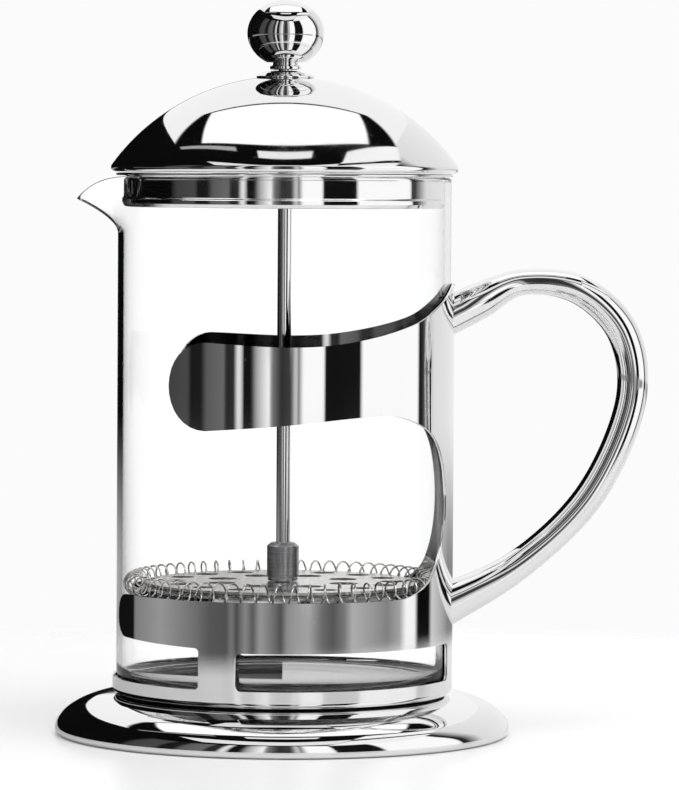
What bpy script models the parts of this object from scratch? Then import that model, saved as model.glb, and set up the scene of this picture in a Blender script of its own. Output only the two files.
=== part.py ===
"""A french press: a glass beaker in a polished steel carrier, a domed lid and a spring-edged plunger.

Run it with: blender --background --python part.py
Lengths are in metres, +Z is up, the handle points along +X and the spout along -X.
Every piece is turned or wrapped about the press's own axis, which stands at AXIS_X.
"""

import math

import bmesh
import bpy
from mathutils import Matrix, Vector
from mathutils.geometry import interpolate_bezier

MM = 0.001

# Clearances
GAP = 0.3 * MM  # between pieces that touch or are welded together
SLIDE_GAP = 0.3 * MM  # round the rod, where it slides
SPRING_GAP = 0.3 * MM  # between the coil spring and the glass
SKIRT_GAP = 0.4 * MM  # between the lid's skirt and the glass

# Sides of turned pieces
LARGE_SIDES = 56
DISC_SIDES = 40
SMALL_SIDES = 24
BORE_SIDES = 12
HOLE_SIDES = 8

# Glass beaker
BEAKER_RADIUS = 49.0 * MM
BEAKER_WALL = 1.6 * MM
BEAKER_FLOOR = 3.5 * MM
BEAKER_HEIGHT = 150.8 * MM
BEAKER_CORNER = 6.0 * MM
SPOUT_REACH = 12.6 * MM
SPOUT_DROP = 6.5 * MM
SPOUT_DEPTH = 16.5 * MM
SPOUT_HALF_ANGLE = math.radians(25.0)

# Saucer-shaped base
BASE_OVERHANG = 16.9 * MM
BASE_HEIGHT = 11.7 * MM
BASE_SHEET = 0.9 * MM
BASE_BULLNOSE = 9.2 * MM
BASE_LIP_HEIGHT = 2.2 * MM
BASE_HEM_WIDTH = 3.2 * MM
BASE_CROWN_FALL = 1.7 * MM

# Carrier frame: a drawn steel cup whose side is cut away to two arms on each side of the handle.
# Every RISE is a height above the base's top.
FRAME_SHEET = 0.8 * MM
FRAME_CORNER = 1.8 * MM
RING_RISE = 5.3 * MM
BAND_RISE = 16.7 * MM
BAND_HEIGHT = 14.0 * MM
BAND_END_ANGLE = 162.5
BAND_TAPER = 2.0 * MM  # how much narrower the band is at its end
ARM_RISE = 92.4 * MM  # of the arm's middle line
ARM_HALF_HEIGHT = 12.4 * MM
ARM_END_ANGLE = 131.0
LEG_ANGLES = (106.0, 118.5)
WINDOW_START_ANGLE = 15.5
WINDOW_FILLET = 2.0 * MM
FRAME_RISE = 121.0 * MM

# Handle
HANDLE_REACH = 57.3 * MM  # from the frame to the handle's outermost point
HANDLE_UPPER_RISE = 111.8 * MM
HANDLE_LOWER_RISE = 26.0 * MM
HANDLE_HALF_THICKNESS = 4.5 * MM
HANDLE_WIDTH_RATIO = 1.4
HANDLE_WALL = 1.2 * MM
HANDLE_SIDES = 14

# Lid
LID_SHEET = 0.8 * MM
DOME_OVERHANG = 2.1 * MM
DOME_RISE = 28.2 * MM
DOME_ROLL = 1.3 * MM  # outer radius of the rolled rim
DOME_STEPS = 6
SKIRT_FLANGE = 2.6 * MM
SKIRT_DEPTH = 9.1 * MM
SKIRT_BEAD = 1.1 * MM
SKIRT_RECESS = 0.5 * MM
SLOT_COUNT = 7
SLOT_WIDTH = 1.4 * MM
SLOT_HEIGHT = 4.6 * MM
SLOT_PITCH_ANGLE = math.radians(4.0)

# Ferrule that guides the rod through the lid
FERRULE_RADIUS = 8.5 * MM
FERRULE_HEIGHT = 1.3 * MM
STEM_WALL = 0.7 * MM
BUSHING_WALL = 0.65 * MM
BUSHING_LIP = 0.9 * MM
BUSHING_LIP_HEIGHT = 0.6 * MM
NUT_ACROSS_FLATS = 12.6 * MM
NUT_HEIGHT = 3.0 * MM
WASHER_RADIUS = 8.0 * MM
WASHER_THICKNESS = 0.8 * MM
STEM_END = 0.5 * MM  # how far the stem shows below its nut

# Knob and rod
KNOB_RADIUS = 11.3 * MM
KNOB_FLATNESS = 0.865  # the ball's height as a share of its width
KNOB_FACE_DEPTH = 8.5 * MM  # from the ball's middle down to its flat underside
KNOB_SOCKET_DEPTH = 9.0 * MM
COLLAR_RADIUS = 4.6 * MM
COLLAR_HEIGHT = 1.9 * MM
COLLAR_NECK = 3.7 * MM
ROD_RADIUS = 2.05 * MM
ROD_SIDES = 16

# Filter
FILTER_HEIGHT = 27.9 * MM  # of the spiral plate's middle above the beaker's floor, plunger down
PLATE_THICKNESS = 0.8 * MM
SCREEN_THICKNESS = 0.3 * MM
COIL_RADIUS = 3.0 * MM
COIL_WIRE = 0.55 * MM
COIL_TURNS = 62
COIL_POINTS_PER_TURN = 5
HUB_RADIUS = 4.7 * MM
HUB_HEIGHT = 11.2 * MM
HUB_CHAMFER = 1.3 * MM
FILTER_WASHER_RADIUS = 7.5 * MM
SCREW_HEAD_RADIUS = 5.0 * MM
SCREW_HEAD_HEIGHT = 1.8 * MM
SCREW_ENGAGEMENT = 5.0 * MM
SCREW_SLOT = (1.2 * MM, 0.9 * MM)  # width and depth

# What follows from the sizes above
FRAME_MIDDLE_RADIUS = BEAKER_RADIUS + GAP + FRAME_SHEET / 2
FRAME_OUTER_RADIUS = FRAME_MIDDLE_RADIUS + FRAME_SHEET / 2
BASE_RADIUS = FRAME_OUTER_RADIUS + BASE_OVERHANG
RING_TOP = BASE_HEIGHT + RING_RISE
BAND_BOTTOM = BASE_HEIGHT + BAND_RISE
BAND_TOP = BAND_BOTTOM + BAND_HEIGHT
ARM_MIDDLE = BASE_HEIGHT + ARM_RISE
FRAME_TOP = BASE_HEIGHT + FRAME_RISE
HANDLE_UPPER_ROOT = BASE_HEIGHT + HANDLE_UPPER_RISE
HANDLE_LOWER_ROOT = BASE_HEIGHT + HANDLE_LOWER_RISE
FLOOR_MIDDLE = BASE_HEIGHT + GAP + FRAME_SHEET / 2
BEAKER_BOTTOM = FLOOR_MIDDLE + FRAME_SHEET / 2 + GAP
BEAKER_RIM = BEAKER_BOTTOM + BEAKER_HEIGHT
BORE_RADIUS = BEAKER_RADIUS - BEAKER_WALL
FLANGE_MIDDLE = BEAKER_RIM + GAP + LID_SHEET / 2
DOME_RIM = FLANGE_MIDDLE + LID_SHEET / 2 + GAP
DOME_RADIUS = BEAKER_RADIUS + DOME_OVERHANG
DOME_TOP = DOME_RIM + DOME_RISE
ROLL_CENTRE_RADIUS = DOME_RADIUS - DOME_ROLL
ROLL_DROP = DOME_RISE - 2 * DOME_ROLL
DOME_BALL_RADIUS = DOME_ROLL + (ROLL_CENTRE_RADIUS**2 + ROLL_DROP**2) / (2 * ROLL_DROP)
ROD_HOLE = ROD_RADIUS + SLIDE_GAP
BUSHING_RADIUS = ROD_HOLE + BUSHING_WALL
STEM_BORE = BUSHING_RADIUS + GAP
STEM_RADIUS = STEM_BORE + STEM_WALL
DOME_HOLE = STEM_RADIUS + GAP
FERRULE_BOTTOM = DOME_TOP + GAP
FERRULE_TOP = FERRULE_BOTTOM + FERRULE_HEIGHT
COLLAR_BOTTOM = FERRULE_TOP + GAP
KNOB_FACE = COLLAR_BOTTOM + COLLAR_HEIGHT + GAP
KNOB_MIDDLE = KNOB_FACE + KNOB_FACE_DEPTH
PLATE_MIDDLE = BEAKER_BOTTOM + BEAKER_FLOOR + FILTER_HEIGHT
COIL_CENTRE_RADIUS = BORE_RADIUS - SPRING_GAP - COIL_WIRE / 2 - COIL_RADIUS
PLATE_RADIUS = COIL_CENTRE_RADIUS - COIL_RADIUS - COIL_WIRE / 2 - GAP
PLATE_BORE = ROD_RADIUS + GAP
HUB_BOTTOM = PLATE_MIDDLE + PLATE_THICKNESS / 2 + GAP
SCREW_END = HUB_BOTTOM + SCREW_ENGAGEMENT
ROD_BOTTOM = SCREW_END + GAP
ROD_TOP = KNOB_FACE + KNOB_SOCKET_DEPTH - GAP
AXIS_X = (BASE_RADIUS - FRAME_OUTER_RADIUS - HANDLE_REACH) / 2

# The handle's centre line from the upper root to the lower one, as shares of its reach and its rise,
# each with its thickness as a share of HANDLE_HALF_THICKNESS
HANDLE_LINE = (
    (-0.05, 0.99, 1.22),
    (0.14, 1.05, 1.19),
    (0.38, 1.115, 0.86),
    (0.71, 1.09, 0.97),
    (0.96, 0.94, 1.05),
    (1.0, 0.70, 1.0),
    (0.775, 0.385, 0.98),
    (0.375, 0.145, 1.0),
    (-0.08, -0.01, 1.39),
)


def clear_scene():
    """Remove every object that a new file starts with."""
    for obj in list(bpy.data.objects):
        bpy.data.objects.remove(obj)


def finish(name, colour, roughness, metallic, transmission=0.0):
    """A Principled material."""
    material = bpy.data.materials.new(name)
    material.use_nodes = True
    shader = material.node_tree.nodes["Principled BSDF"]
    shader.inputs["Base Color"].default_value = (*colour, 1.0)
    shader.inputs["Roughness"].default_value = roughness
    shader.inputs["Metallic"].default_value = metallic
    shader.inputs["Transmission Weight"].default_value = transmission
    material.diffuse_color = (*colour, 1.0)
    return material


def mirror_steel():
    return finish("mirror_steel", (0.84, 0.84, 0.85), 0.05, 1.0)


def satin_steel():
    return finish("satin_steel", (0.52, 0.52, 0.54), 0.32, 1.0)


def spring_steel():
    return finish("spring_steel", (0.74, 0.73, 0.70), 0.2, 1.0)


def woven_steel():
    return finish("woven_steel", (0.55, 0.55, 0.55), 0.45, 1.0)


def clear_glass():
    return finish("clear_glass", (0.97, 0.99, 0.98), 0.01, 0.0, transmission=1.0)


def nylon():
    return finish("nylon", (0.82, 0.82, 0.80), 0.45, 0.0)


def axis_empty(name, parent=None, x=0.0):
    """An empty on the press's axis, which carries one group of pieces that move together."""
    empty = bpy.data.objects.new(name, None)
    bpy.context.scene.collection.objects.link(empty)
    empty.parent = parent
    empty.location.x = x
    return empty


def piece(name, bm, parent, material, sharp_angle=35.0):
    """Turn a bmesh into a named, smooth-shaded object that hangs from its group's empty."""
    mesh = bpy.data.meshes.new(name)
    bm.to_mesh(mesh)
    bm.free()
    mesh.shade_smooth()
    mesh.set_sharp_from_angle(angle=math.radians(sharp_angle))
    mesh.materials.append(material)
    obj = bpy.data.objects.new(name, mesh)
    bpy.context.scene.collection.objects.link(obj)
    obj.parent = parent
    return obj


def hide(obj):
    """Keep a cutter out of the model."""
    obj.hide_render = True
    obj.display_type = "WIRE"


def thicken(obj, thickness, offset=0.0):
    """Give an open sheet its thickness: offset 0 grows it both ways, -1 grows it inwards."""
    solidify = obj.modifiers.new("sheet thickness", "SOLIDIFY")
    solidify.thickness = thickness
    solidify.offset = offset
    solidify.use_even_offset = True


def cut(obj, cutter, label):
    """Take a cutter's shape out of a piece."""
    boolean = obj.modifiers.new(label, "BOOLEAN")
    boolean.operation = "DIFFERENCE"
    boolean.solver = "EXACT"
    boolean.object = cutter


def arc(centre, radius, start, end, steps, squash=1.0):
    """Points (r, z) along an arc, from one angle to another in degrees; squash scales its height."""
    points = []
    for step in range(steps + 1):
        angle = math.radians(start + (end - start) * step / steps)
        r = centre[0] + radius * math.cos(angle)
        z = centre[1] + radius * squash * math.sin(angle)
        points.append((r, z))
    return points


def smooth_run(points, steps):
    """Points along one smooth curve through the given points."""
    knots = [Vector(point) for point in points]
    before = [2 * knots[0] - knots[1], *knots[:-1]]
    after = [*knots[1:], 2 * knots[-1] - knots[-2]]
    slopes = [(late - early) / 6 for early, late in zip(before, after)]
    run = []
    for index in range(len(knots) - 1):
        handle_out = knots[index] + slopes[index]
        handle_in = knots[index + 1] - slopes[index + 1]
        span = interpolate_bezier(knots[index], handle_out, handle_in, knots[index + 1], steps + 1)
        run.extend(span[:-1])
    return [*run, knots[-1]]


def loop_of(bm, points, closed=True):
    """Vertices at the given points, joined by edges."""
    verts = [bm.verts.new(point) for point in points]
    ends = verts[1:] + (verts[:1] if closed else [])
    return [bm.edges.new(pair) for pair in zip(verts, ends)]


def turned(profile, sides, closed=False):
    """A bmesh turned about the axis from (r, z) points; an open profile starts and ends on the axis."""
    bm = bmesh.new()
    edges = loop_of(bm, [(r, 0.0, z) for r, z in profile], closed)
    bmesh.ops.spin(
        bm,
        geom=bm.verts[:] + edges,
        cent=(0.0, 0.0, 0.0),
        axis=(0.0, 0.0, 1.0),
        angle=2 * math.pi,
        steps=sides,
        use_merge=True,
    )
    bmesh.ops.remove_doubles(bm, verts=bm.verts, dist=1e-6)
    bmesh.ops.recalc_face_normals(bm, faces=bm.faces)
    return bm


def turned_ring(inner, outer, bottom, top, sides):
    """A plain ring of rectangular section."""
    corners = [(outer, top), (outer, bottom), (inner, bottom), (inner, top)]
    return turned(corners, sides, closed=True)


def circle_points(radius, sides, centre=(0.0, 0.0), height=0.0):
    """Points round a circle that lies flat."""
    points = []
    for side in range(sides):
        angle = 2 * math.pi * side / sides
        x = centre[0] + radius * math.cos(angle)
        y = centre[1] + radius * math.sin(angle)
        points.append((x, y, height))
    return points


def pierced_disc(radius, holes, bottom, thickness, sides=DISC_SIDES):
    """A flat plate, round or of few sides, with round holes given as (x, y, radius, sides)."""
    bm = bmesh.new()
    edges = loop_of(bm, circle_points(radius, sides, height=bottom))
    for x, y, hole_radius, hole_sides in holes:
        edges += loop_of(bm, circle_points(hole_radius, hole_sides, (x, y), bottom))
    bmesh.ops.triangle_fill(bm, use_beauty=True, edges=edges)
    raised = bmesh.ops.extrude_face_region(bm, geom=bm.faces[:] + bm.edges[:] + bm.verts[:])
    lifted = [item for item in raised["geom"] if isinstance(item, bmesh.types.BMVert)]
    bmesh.ops.translate(bm, verts=lifted, vec=(0.0, 0.0, thickness))
    bmesh.ops.recalc_face_normals(bm, faces=bm.faces)
    return bm


def ring_of_holes(count, pitch_radius, hole_radius, turn=0.0):
    """Round holes spaced evenly about the axis."""
    holes = []
    for index in range(count):
        angle = 2 * math.pi * (index + turn) / count
        x = pitch_radius * math.cos(angle)
        y = pitch_radius * math.sin(angle)
        holes.append((x, y, hole_radius, HOLE_SIDES))
    return holes


def saucer_base(parent, material):
    """The round base: a crowned sheet with a bullnose edge and a hem turned in flat to stand on."""
    half = BASE_SHEET / 2
    rim = BASE_RADIUS - half
    top = BASE_HEIGHT - half
    shoulder = rim - BASE_BULLNOSE
    fall = top - BASE_CROWN_FALL
    profile = [(0.0, top), (FRAME_OUTER_RADIUS, top)]
    rise = fall - BASE_LIP_HEIGHT
    profile += arc((shoulder, BASE_LIP_HEIGHT), BASE_BULLNOSE, 90, 0, 5, rise / BASE_BULLNOSE)
    profile += [(rim, 2 * half), (rim - half, half), (rim - BASE_HEM_WIDTH, half)]
    base = piece("saucer_base", turned(profile, LARGE_SIDES), parent, material)
    thicken(base, BASE_SHEET)


def frame_outline():
    """Half of the frame's side laid flat, as (angle in degrees, height in metres) points."""
    degrees_per_metre = math.degrees(1 / FRAME_OUTER_RADIUS)

    def round_end(end_angle, middle, half_height):
        centre = end_angle - half_height * degrees_per_metre
        points = []
        for step in range(9):
            turn = math.radians(90 - 22.5 * step)
            angle = centre + half_height * math.cos(turn) * degrees_per_metre
            points.append((angle, middle + half_height * math.sin(turn)))
        return points

    arm_top = ARM_MIDDLE + ARM_HALF_HEIGHT
    arm_bottom = ARM_MIDDLE - ARM_HALF_HEIGHT
    band_middle = (BAND_TOP + BAND_BOTTOM + BAND_TAPER) / 2
    arm_end = round_end(ARM_END_ANGLE, ARM_MIDDLE, ARM_HALF_HEIGHT)
    band_end = round_end(BAND_END_ANGLE, band_middle, (BAND_HEIGHT - BAND_TAPER) / 2)
    top_edge = [
        (0.0, FRAME_TOP),
        (9.0, FRAME_TOP - 0.9 * MM),
        (24.0, FRAME_TOP - 5.6 * MM),
        (40.5, arm_top + 5.2 * MM),
        (66.0, arm_top + 0.4 * MM),
        (87.0, arm_top - 1.1 * MM),
        arm_end[0],
    ]
    notch_edge = [
        arm_end[-1],
        (92.0, arm_bottom + 1.7 * MM),
        (63.0, arm_bottom + 4.1 * MM),
        (46.0, arm_bottom + 3.5 * MM),
        (30.0, arm_bottom - 2.0 * MM),
        (21.5, arm_bottom - 10.8 * MM),
        (18.3, arm_bottom - 22.3 * MM),
        (21.5, BAND_TOP + 16.0 * MM),
        (30.5, BAND_TOP + 5.4 * MM),
        (42.0, BAND_TOP + 0.8 * MM),
        (52.0, BAND_TOP),
    ]
    leg_top = BAND_BOTTOM + BAND_TAPER / 2
    leg_foot = [(LEG_ANGLES[1], leg_top), (LEG_ANGLES[1], RING_TOP), (180.0, RING_TOP)]
    wall_bottom = FLOOR_MIDDLE + FRAME_CORNER
    side = smooth_run(top_edge, 3)[:-1] + [Vector(point) for point in arm_end]
    side += smooth_run(notch_edge, 3)[1:] + [Vector(point) for point in band_end]
    side += [Vector(point) for point in leg_foot]
    side += [Vector((180.0, wall_bottom)), Vector((0.0, wall_bottom))]
    return side


def window_outline():
    """The window between ring and band, laid flat, with filleted corners."""
    across = math.degrees(WINDOW_FILLET / FRAME_OUTER_RADIUS)
    left = WINDOW_START_ANGLE + across
    right = LEG_ANGLES[0] - across
    low = RING_TOP + WINDOW_FILLET
    high = BAND_BOTTOM - WINDOW_FILLET
    corners = ((right, high, 0), (left, high, 90), (left, low, 180), (right, low, 270))
    points = []
    for angle, height, start in corners:
        for step in range(4):
            turn = math.radians(start + 30 * step)
            points.append((angle + across * math.cos(turn), height + WINDOW_FILLET * math.sin(turn)))
    return points


def carrier_frame(parent, material):
    """The cup that holds the beaker: its side is cut flat, wrapped, mirrored and closed with a floor.

    Laid flat, the side is measured in degrees and millimetres.
    """
    bm = bmesh.new()
    edges = loop_of(bm, [(angle, height / MM, 0.0) for angle, height in frame_outline()])
    edges += loop_of(bm, [(angle, height / MM, 0.0) for angle, height in window_outline()])
    bmesh.ops.triangle_fill(bm, use_beauty=True, edges=edges)
    for step in range(1, LARGE_SIDES // 2):
        angle = 360.0 * step / LARGE_SIDES
        everything = bm.verts[:] + bm.edges[:] + bm.faces[:]
        bmesh.ops.bisect_plane(bm, geom=everything, plane_co=(angle, 0, 0), plane_no=(1, 0, 0), dist=1e-4)
    for vert in bm.verts:
        angle = math.radians(vert.co.x)
        height = vert.co.y * MM
        radius = FRAME_MIDDLE_RADIUS
        vert.co = (radius * math.cos(angle), -radius * math.sin(angle), height)
    everything = bm.verts[:] + bm.edges[:] + bm.faces[:]
    bmesh.ops.mirror(bm, geom=everything, matrix=Matrix.Identity(4), merge_dist=1e-6, axis="Y")
    wall_bottom = FLOOR_MIDDLE + FRAME_CORNER
    corner_centre = (FRAME_MIDDLE_RADIUS - FRAME_CORNER, wall_bottom)
    rim = [edge for edge in bm.edges if all(vert.co.z < wall_bottom + 1e-6 for vert in edge.verts)]
    for radius, height in arc(corner_centre, FRAME_CORNER, 0, -90, 2)[1:]:
        made = bmesh.ops.extrude_edge_only(bm, edges=rim)
        rim = [item for item in made["geom"] if isinstance(item, bmesh.types.BMEdge)]
        for vert in {vert for edge in rim for vert in edge.verts}:
            outward = vert.co.xy.normalized() * radius
            vert.co = (outward.x, outward.y, height)
    bmesh.ops.edgeloop_fill(bm, edges=rim)
    bmesh.ops.recalc_face_normals(bm, faces=bm.faces)
    frame = piece("carrier_frame", bm, parent, material)
    thicken(frame, FRAME_SHEET)


def handle(parent, material):
    """The oval tube that loops from the frame's top to its lower band, fitted to the frame's curve."""
    rise = HANDLE_UPPER_ROOT - HANDLE_LOWER_ROOT
    reach = HANDLE_REACH - HANDLE_HALF_THICKNESS
    line = []
    for across, up, share in HANDLE_LINE:
        x = FRAME_OUTER_RADIUS + across * reach
        line.append((x, HANDLE_LOWER_ROOT + up * rise, share * HANDLE_HALF_THICKNESS))
    run = smooth_run(line, 3)
    spare = FRAME_OUTER_RADIUS + HANDLE_REACH - max(point.x + point.z for point in run)
    for point in run:
        point.x += spare * (point.x - FRAME_OUTER_RADIUS) / reach
    bm = bmesh.new()
    loops = []
    for index, point in enumerate(run):
        early = run[max(index - 1, 0)]
        late = run[min(index + 1, len(run) - 1)]
        along = Vector((late.x - early.x, 0.0, late.y - early.y)).normalized()
        side = Vector((0.0, 1.0, 0.0))
        out = side.cross(along)
        turn = Matrix((side, out, along)).transposed().to_4x4()
        stretch = Matrix.Diagonal((HANDLE_WIDTH_RATIO * point.z, point.z, 1.0, 1.0))
        place = Matrix.Translation((point.x, 0.0, point.y)) @ turn @ stretch
        ring = bmesh.ops.create_circle(bm, segments=HANDLE_SIDES, radius=1.0, matrix=place)
        loops.append(list({edge for vert in ring["verts"] for edge in vert.link_edges}))
    for first, second in zip(loops, loops[1:]):
        bmesh.ops.bridge_loops(bm, edges=first + second)
    bmesh.ops.recalc_face_normals(bm, faces=bm.faces)
    tube = piece("handle", bm, parent, material, sharp_angle=50.0)
    thicken(tube, HANDLE_WALL, offset=-1.0)
    height = FRAME_TOP + KNOB_RADIUS
    fit = FRAME_OUTER_RADIUS + GAP
    profile = [(0.0, height), (fit, height), (fit, 0.0), (0.0, 0.0)]
    cutter = piece("handle_fit_cutter", turned(profile, LARGE_SIDES * 2), parent, material)
    hide(cutter)
    cut(tube, cutter, "fit to the frame")


def pull_spout(bm):
    """Draw the rim out and down into a pouring lip on the -X side."""
    start = BEAKER_RIM - SPOUT_DEPTH
    for vert in bm.verts:
        away = abs(math.atan2(vert.co.y, -vert.co.x))
        if vert.co.z <= start or away >= SPOUT_HALF_ANGLE:
            continue
        share = (vert.co.z - start) / SPOUT_DEPTH
        pull = math.cos(away / SPOUT_HALF_ANGLE * math.pi / 2) ** 2
        outward = vert.co.xy.normalized() * SPOUT_REACH * pull * share**1.7
        drop = SPOUT_DROP * pull**2.5 * share
        vert.co += Vector((outward.x, outward.y, -drop))


def glass_beaker(parent, material):
    """The cylinder of clear glass, with a rounded foot, a fire-polished rim and a pulled spout."""
    half_wall = BEAKER_WALL / 2
    inner_corner = BEAKER_CORNER - BEAKER_WALL
    outer_foot = (BEAKER_RADIUS - BEAKER_CORNER, BEAKER_BOTTOM + BEAKER_CORNER)
    floor = BEAKER_BOTTOM + BEAKER_FLOOR
    inner_foot = (BORE_RADIUS - inner_corner, floor + inner_corner)
    rim_centre = (BEAKER_RADIUS - half_wall, BEAKER_RIM - half_wall)
    spout_rings = [BEAKER_RIM - half_wall - SPOUT_DEPTH * share for share in (0.17, 0.34, 0.52, 0.72, 0.94)]
    profile = [(0.0, BEAKER_BOTTOM)]
    profile += arc(outer_foot, BEAKER_CORNER, -90, 0, 4)
    profile += [(BEAKER_RADIUS, height) for height in reversed(spout_rings)]
    profile += arc(rim_centre, half_wall, 0, 180, 4)
    profile += [(BORE_RADIUS, height) for height in spout_rings]
    profile += arc(inner_foot, inner_corner, 0, -90, 3)
    profile += [(0.0, floor)]
    bm = turned(profile, LARGE_SIDES)
    pull_spout(bm)
    piece("glass_beaker", bm, parent, material)


def lid_dome(parent, material):
    """The domed cover: a shallow spherical cap whose edge turns down into a rolled rim."""
    ball = DOME_BALL_RADIUS - LID_SHEET / 2
    middle = DOME_TOP - DOME_BALL_RADIUS
    start = math.asin(DOME_HOLE / ball)
    end = math.asin(ROLL_CENTRE_RADIUS / (DOME_BALL_RADIUS - DOME_ROLL))
    profile = []
    for step in range(DOME_STEPS + 1):
        angle = start + (end - start) * step / DOME_STEPS
        profile.append((ball * math.sin(angle), middle + ball * math.cos(angle)))
    roll_centre = (ROLL_CENTRE_RADIUS, DOME_RIM + DOME_ROLL)
    profile += arc(roll_centre, DOME_ROLL - LID_SHEET / 2, 90 - math.degrees(end), -105, 4)[1:]
    dome = piece("lid_dome", turned(profile, LARGE_SIDES), parent, material)
    thicken(dome, LID_SHEET)


def lid_skirt(parent, material):
    """The ring inside the glass: a flange on the rim, a recessed wall, a bead and pouring slots."""
    half = LID_SHEET / 2
    wall = BORE_RADIUS - SKIRT_GAP - half
    recessed = wall - SKIRT_RECESS
    bead_middle = FLANGE_MIDDLE - SKIRT_DEPTH + SKIRT_BEAD
    profile = [(wall + SKIRT_FLANGE, FLANGE_MIDDLE), (wall, FLANGE_MIDDLE)]
    profile += [(recessed, FLANGE_MIDDLE - SKIRT_RECESS), (recessed, bead_middle + SKIRT_BEAD)]
    profile += [(wall, bead_middle + SKIRT_BEAD / 2), (wall, bead_middle - SKIRT_BEAD / 2)]
    profile += [(recessed, bead_middle - SKIRT_BEAD)]
    skirt = piece("lid_skirt", turned(profile, LARGE_SIDES), parent, material)
    thicken(skirt, LID_SHEET)
    slot_middle = (FLANGE_MIDDLE + bead_middle) / 2
    bm = bmesh.new()
    for index in range(SLOT_COUNT):
        angle = math.pi + (index - (SLOT_COUNT - 1) / 2) * SLOT_PITCH_ANGLE
        size = Matrix.Diagonal((BEAKER_WALL * 3, SLOT_WIDTH, SLOT_HEIGHT, 1.0))
        place = Matrix.Translation((0.0, 0.0, slot_middle)) @ Matrix.Rotation(angle, 4, "Z")
        place = place @ Matrix.Translation((recessed, 0.0, 0.0)) @ size
        bmesh.ops.create_cube(bm, size=1.0, matrix=place)
    cutter = piece("skirt_slot_cutter", bm, parent, material)
    hide(cutter)
    cut(skirt, cutter, "pouring slots")


def dome_fall(radius):
    """How far the dome's surface lies below its top at a distance from the axis."""
    return DOME_BALL_RADIUS - math.sqrt(DOME_BALL_RADIUS**2 - radius**2)


def lid_ferrule(parent, material):
    """The lens-shaped flange on the dome, with a hollow stem down through it."""
    stem_bottom = nut_bottom() - STEM_END
    seat = FERRULE_BOTTOM - dome_fall(FERRULE_RADIUS * 0.92)
    profile = [
        (STEM_BORE, FERRULE_TOP),
        (FERRULE_RADIUS * 0.62, FERRULE_TOP - FERRULE_HEIGHT * 0.06),
        (FERRULE_RADIUS * 0.87, FERRULE_TOP - FERRULE_HEIGHT * 0.36),
        (FERRULE_RADIUS, seat + FERRULE_HEIGHT * 0.48),
        (FERRULE_RADIUS, seat + FERRULE_HEIGHT * 0.3),
        (FERRULE_RADIUS * 0.92, seat),
        (STEM_RADIUS, FERRULE_BOTTOM - dome_fall(STEM_RADIUS)),
        (STEM_RADIUS, stem_bottom),
        (STEM_BORE, stem_bottom),
    ]
    piece("lid_ferrule", turned(profile, SMALL_SIDES, closed=True), parent, material)


def washer_top():
    """Height of the clamping washer's top face, just under the dome at the washer's rim."""
    return DOME_TOP - LID_SHEET - dome_fall(WASHER_RADIUS) - GAP


def nut_bottom():
    return washer_top() - WASHER_THICKNESS - GAP - NUT_HEIGHT


def ferrule_clamp(parent, material):
    """The washer and hexagon nut that hold the ferrule to the dome from below."""
    top = washer_top()
    ring = turned_ring(DOME_HOLE, WASHER_RADIUS, top - WASHER_THICKNESS, top, SMALL_SIDES)
    piece("ferrule_washer", ring, parent, material)
    corner = NUT_ACROSS_FLATS / math.sqrt(3)
    bore = (0.0, 0.0, DOME_HOLE, SMALL_SIDES)
    nut = pierced_disc(corner, [bore], nut_bottom(), NUT_HEIGHT, sides=6)
    piece("ferrule_nut", nut, parent, material)


def rod_bushing(parent, material):
    """The sleeve in the ferrule that the rod slides through, with a lip below the stem."""
    stem_bottom = nut_bottom() - STEM_END
    lip_top = stem_bottom - GAP
    lip_bottom = lip_top - BUSHING_LIP_HEIGHT
    profile = [
        (BUSHING_RADIUS, FERRULE_TOP - GAP),
        (BUSHING_RADIUS, lip_top),
        (BUSHING_RADIUS + BUSHING_LIP, lip_top),
        (BUSHING_RADIUS + BUSHING_LIP, lip_bottom),
        (ROD_HOLE, lip_bottom),
        (ROD_HOLE, FERRULE_TOP - GAP),
    ]
    piece("rod_bushing", turned(profile, SMALL_SIDES, closed=True), parent, material)


def knob_ball(parent, material):
    """The slightly flattened ball that the hand presses, faced flat below and bored for the rod."""
    half_height = KNOB_RADIUS * KNOB_FLATNESS
    face_angle = -math.degrees(math.asin(KNOB_FACE_DEPTH / half_height))
    profile = arc((0.0, KNOB_MIDDLE), KNOB_RADIUS, 90, face_angle, 10, KNOB_FLATNESS)
    profile[0] = (0.0, KNOB_MIDDLE + half_height)
    socket_top = ROD_TOP + GAP
    profile += [(ROD_HOLE, KNOB_FACE), (ROD_HOLE, socket_top), (0.0, socket_top)]
    piece("knob_ball", turned(profile, SMALL_SIDES), parent, material)


def knob_collar(parent, material):
    """The stepped collar between the ball and the ferrule."""
    step = COLLAR_HEIGHT * 0.5
    profile = [
        (ROD_HOLE, COLLAR_BOTTOM + COLLAR_HEIGHT),
        (COLLAR_NECK, COLLAR_BOTTOM + COLLAR_HEIGHT),
        (COLLAR_RADIUS * 0.94, COLLAR_BOTTOM + step + COLLAR_HEIGHT * 0.2),
        (COLLAR_RADIUS * 0.86, COLLAR_BOTTOM + step),
        (COLLAR_RADIUS, COLLAR_BOTTOM + step * 0.7),
        (COLLAR_RADIUS, COLLAR_BOTTOM + step * 0.2),
        (COLLAR_RADIUS * 0.9, COLLAR_BOTTOM),
        (ROD_HOLE, COLLAR_BOTTOM),
    ]
    piece("knob_collar", turned(profile, SMALL_SIDES, closed=True), parent, material)


def plunger_rod(parent, material):
    """The rod from the knob's socket down into the hub."""
    profile = [(0.0, ROD_TOP), (ROD_RADIUS, ROD_TOP), (ROD_RADIUS, ROD_BOTTOM), (0.0, ROD_BOTTOM)]
    piece("plunger_rod", turned(profile, ROD_SIDES), parent, material)


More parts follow.
